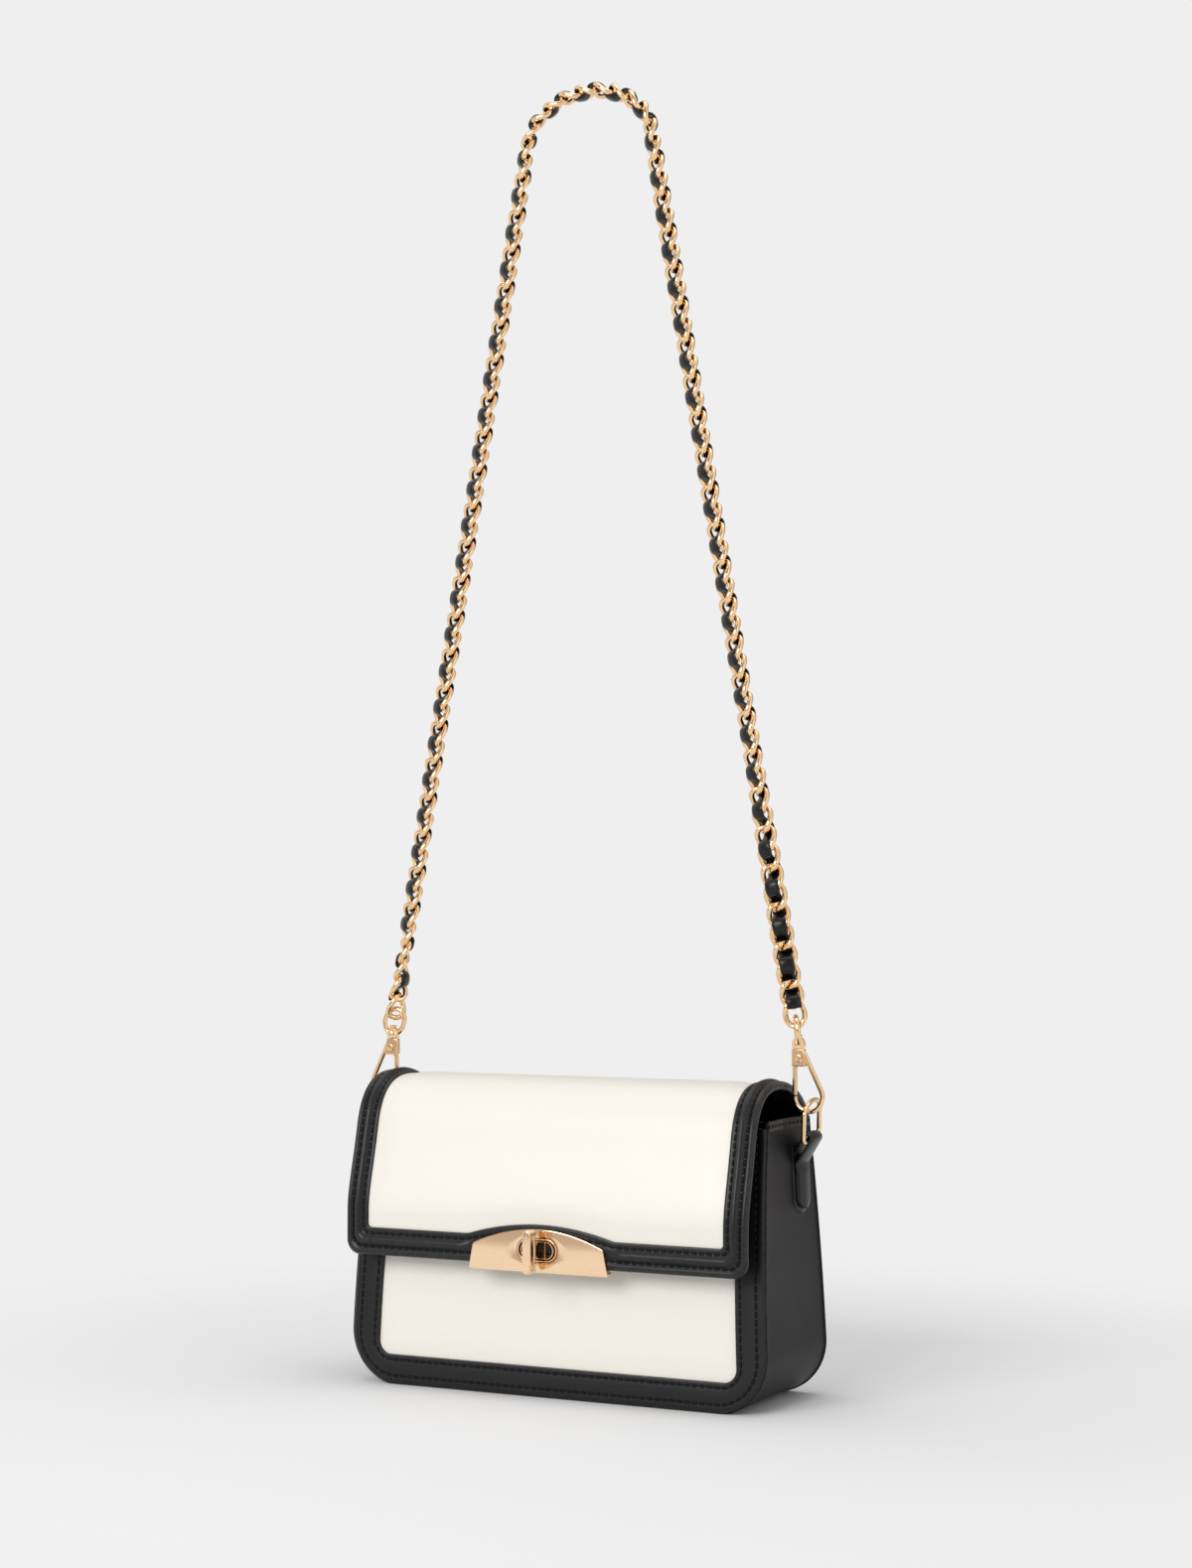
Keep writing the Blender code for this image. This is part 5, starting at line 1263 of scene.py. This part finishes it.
def strap_line():
    """The strap's centre line in X and Z, left eye to right eye: a leg, an arch and a leg."""
    start = eye_foot(1) + eye_up(1) * (2 * EYE_HALF.y - EYE_WIRE - 2.0 * MM)
    crown_base = start.z + STRAP_RISE
    far = Vector((start.x, -STRAP_RISE * CROWN_HALF / CROWN_RISE))
    touch = atan2(far.y, far.x) + acos(CROWN_HALF / far.length)
    right = [Vector((start.x, start.z))]
    right += [Vector((CROWN_HALF * cos(t), crown_base + CROWN_RISE * sin(t)))
              for t in spaced(touch, pi / 2, 32)]
    return [Vector((-p.x, p.y)) for p in right[:-1]] + right[::-1]


STRAP = strap_line()
STRAP_ALONG = lengths(STRAP)
STRAP_LENGTH = STRAP_ALONG[-1]
LINKS = round(STRAP_LENGTH / PITCH_WANTED)
PITCH = STRAP_LENGTH / LINKS


def strap_frame(s):
    """The place at a distance along the strap, and the directions along, across and out of its face."""
    k = stretch_at(STRAP_ALONG, s)
    step = (STRAP[k + 1] - STRAP[k]).normalized()
    here = STRAP[k] + step * (s - STRAP_ALONG[k])
    outward = Vector((-step.y, 0, step.x))
    turn = lerp(*LEG_TURN, ease((s / STRAP_LENGTH - 0.5) / CROWN_SHARE + 0.5))
    for end, gone in enumerate((s, STRAP_LENGTH - s)):
        turn += ease(1 - gone / TWIST_RUN[end]) * (TWIST[end] - LEG_TURN[end])
    twist = radians(turn)
    back = Vector((0, 1, 0))
    across = back * cos(twist) + outward * sin(twist)
    face = outward * cos(twist) - back * sin(twist)
    return Vector((here.x, STRAP_BACK, here.y)), Vector((step.x, 0, step.y)), across, face


print(f"strap {STRAP_LENGTH:.4f} m in {LINKS} links")

# %% Chain tree
chainer, c_in = new_group("chainer", "Geometry",
                          {"Places": "Geometry", "Half Length": "Float", "Half Width": "Float",
                           "Twist": "Float", "Wire": "Float", "Metal": "Material"},
                          {"Links": "Geometry"})
hoop = node(chainer, "GeometryNodeCurvePrimitiveCircle", {"Resolution": 30, "Radius": 1.0})
turn_at = maths(chainer, "MULTIPLY", node(chainer, "GeometryNodeSplineParameter", give="Factor"), 2 * pi)
BENDS = (("COSINE", turn_at, "Half Length"), ("SINE", turn_at, "Half Width"),
         ("SINE", maths(chainer, "MULTIPLY", turn_at, 2.0), "Twist"))
bends = [maths(chainer, "MULTIPLY", maths(chainer, wave, angle), c_in[label]) for wave, angle, label in BENDS]
bent_to = node(chainer, "ShaderNodeCombineXYZ", dict(enumerate(bends)))
bent = node(chainer, "GeometryNodeSetPosition", {"Geometry": hoop, "Position": bent_to})
round_wire = node(chainer, "GeometryNodeCurvePrimitiveCircle", {"Resolution": 10, "Radius": c_in["Wire"]})
link = node(chainer, "GeometryNodeCurveToMesh", {"Curve": bent, "Profile Curve": round_wire})
links = set_out(chainer, c_in["Places"], link, named(chainer, "along"), named(chainer, "face"),
                c_in["Metal"])
give_out(chainer, Links=links)

CROWN_LINKS = 13
LINK = {"Half Length": 6.5 * MM, "Half Width": 4.85 * MM, "Twist": 1.8 * MM, "Wire": 1.45 * MM, "Metal": gold}
leg = (LINKS - CROWN_LINKS) // 2
for label, first, last in (("left", 0, leg), ("crown", leg, LINKS - leg), ("right", LINKS - leg, LINKS)):
    places, alongs, _, faces = zip(*[strap_frame((k + 0.5) * PITCH) for k in range(first, last)])
    grow(f"chain_{label}_links", guide_mesh(places, [], along=alongs, face=faces), chainer, LINK)

# %% [markdown]
# ## Lace
# A narrow folded strip of leather runs through the chain, over one crossing and under the next. Its
# height over the chain's middle is a cosine with rounded tops, and it narrows where a link holds it.
# %% Lace
LACE_HEIGHT = 3.1 * MM
LACE_THICK = 1.7 * MM
LACE_STEPS = 10


def lace_section(s):
    """A ring of the lace at a distance along the strap."""
    here, _, across, face = strap_frame(s)
    wave = -cos(pi * s / PITCH)
    lift = LACE_HEIGHT * tanh(2.0 * wave) / tanh(2.0)
    wide = lerp(3.1, 3.95, abs(wave) ** 0.8) * MM
    ring = []
    for t in around(14):
        a = copysign(abs(cos(t)) ** 0.7, cos(t)) * wide
        b = copysign(abs(sin(t)) ** 0.8, sin(t)) * LACE_THICK / 2
        dome = 0.35 * MM * (1 - (a / wide) ** 2) * (1 if wave > 0 else -1) * abs(wave)
        ring.append(here + across * a + face * (lift + b + dome))
    return ring


lace_rows = int((LINKS - 1.5) * LACE_STEPS)
lace = [lace_section(s) for s in spaced(0.75 * PITCH, (LINKS - 0.75) * PITCH, lace_rows)]
loft("lace_leather_strip", lace, lace_hide, sharp=60)
print("lace sections:", len(lace))

# %% [markdown]
# ## Hidden parts
# Boards, washer, keeper and springs are already the right shape in the CAD. They only get finishes.
# %% Finishes on CAD nodes
HIDDEN = {"front_board": board_grey, "back_board": board_grey, "base_board": board_grey, "lock_keeper": gold,
          "lock_washer": gold, "gate_spring_left": steel, "gate_spring_right": steel}
for name, surface in HIDDEN.items():
    nodes[name].data.materials.clear()
    nodes[name].data.materials.append(surface)

# %% [markdown]
# ## What rides on what
# Each piece is attached to the body that carries it, and the CAD nodes that it stands for are
# hidden. The two flap zones are attached to no body and keep the place where they were built.
# %% Rides
BLACK, CREAM, GOLD = "black_leather", "cream_leather", "light_gold"
BLEND_REACH = 12 * MM
REAR = ("bag", "flap_top", cover_at(0, -10 * MM, SEAM_INSET), cover_at(0, BLEND_REACH, SEAM_INSET))
FOLD = ("flap_top", "flap_front", cover_at(0, FOLD_AT - BLEND_REACH, SEAM_INSET),
        cover_at(0, FOLD_AT + BLEND_REACH, SEAM_INSET))


def dress(name, slot, carrier, *replaced):
    """Attach a piece to its body, or bake it in place when two bodies are given, and hide what it stands for;
    slot, its finish, is not used.
    """
    piece = bpy.data.objects[name]
    if isinstance(carrier, str):
        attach(piece, carrier)
    else:
        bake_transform(piece)
    if replaced:
        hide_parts(*replaced)


for label in ("front", "back"):
    dress(f"{label}_border_leather", BLACK, "bag", f"{label}_border")
    dress(f"{label}_panel_leather", CREAM, "bag", f"{label}_panel")
    dress(f"{label}_stitches", BLACK, "bag")
dress("gusset_leather", BLACK, "bag", "gusset")
for label, _ in SIDES:
    dress(f"gusset_binding_{label}_leather", BLACK, "bag", f"gusset_binding_{label}")
    dress(f"gusset_stitches_{label}", BLACK, "bag")
dress("lining_cloth", "black_lining", "bag", "lining")
dress("mouth_facing", BLACK, "bag")
for label, _ in SIDES:
    dress(f"tab_{label}_patch", BLACK, "bag", f"tab_{label}")
    dress(f"tab_{label}_strap", BLACK, "bag", f"tab_{label}")
for zone, carrier in (("top", REAR), ("front", FOLD)):
    dress(f"flap_{zone}_panel_leather", CREAM, carrier, f"flap_{zone}_panel")
    dress(f"flap_{zone}_lining_leather", BLACK, carrier, f"flap_{zone}_lining")
    for edge in ("border_left", "border_right") if zone == "top" else ("border",):
        dress(f"flap_{zone}_{edge}_leather", BLACK, carrier, f"flap_{zone}_{edge}")
    dress(f"flap_{zone}_stitches", BLACK, carrier)
dress("lock_plate_front_cast", GOLD, "flap_front", "lock_plate_front")
dress("lock_plate_back_leaf", GOLD, "flap_front", "lock_plate_back")
for name in ("lock_dial_oval", "lock_dial_rib", "lock_dial_rib.001"):
    dress(name, GOLD, "flap_front", "lock_dial")
for name in ("toggle_grip", "toggle_stem", "toggle_web", "toggle_tail"):
    dress(name, GOLD, "toggle", "lock_toggle")
for label, _ in SIDES:
    dress(f"d_ring_{label}_wire", GOLD, f"ring_{label}", f"d_ring_{label}")
for label, _ in SIDES:
    for name in ("wire", "block", "post"):
        dress(f"hook_{label}_{name}", GOLD, f"hook_{label}", f"hook_{label}")
    dress(f"rivet_{label}_turned", GOLD, f"hook_{label}", f"rivet_{label}")
    for name in ("bar", "tongue"):
        dress(f"gate_{label}_{name}", GOLD, f"gate_{label}", f"gate_{label}")
    for name in ("collar", "ring"):
        dress(f"eye_{name}_{label}", GOLD, "strap", f"swivel_eye_{label}")
for label in ("left", "crown", "right"):
    dress(f"chain_{label}_links", GOLD, "strap", f"chain_{label}")
dress("lace_leather_strip", "lace_leather", "strap", "strap_lace")

visual_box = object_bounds()
boxes = {"cad": [list(c) for c in cad_box], "visual": [list(c) for c in visual_box]}
for label, (low, high) in boxes.items():
    print(label, [round(v / MM, 1) for v in low], [round(v / MM, 1) for v in high])
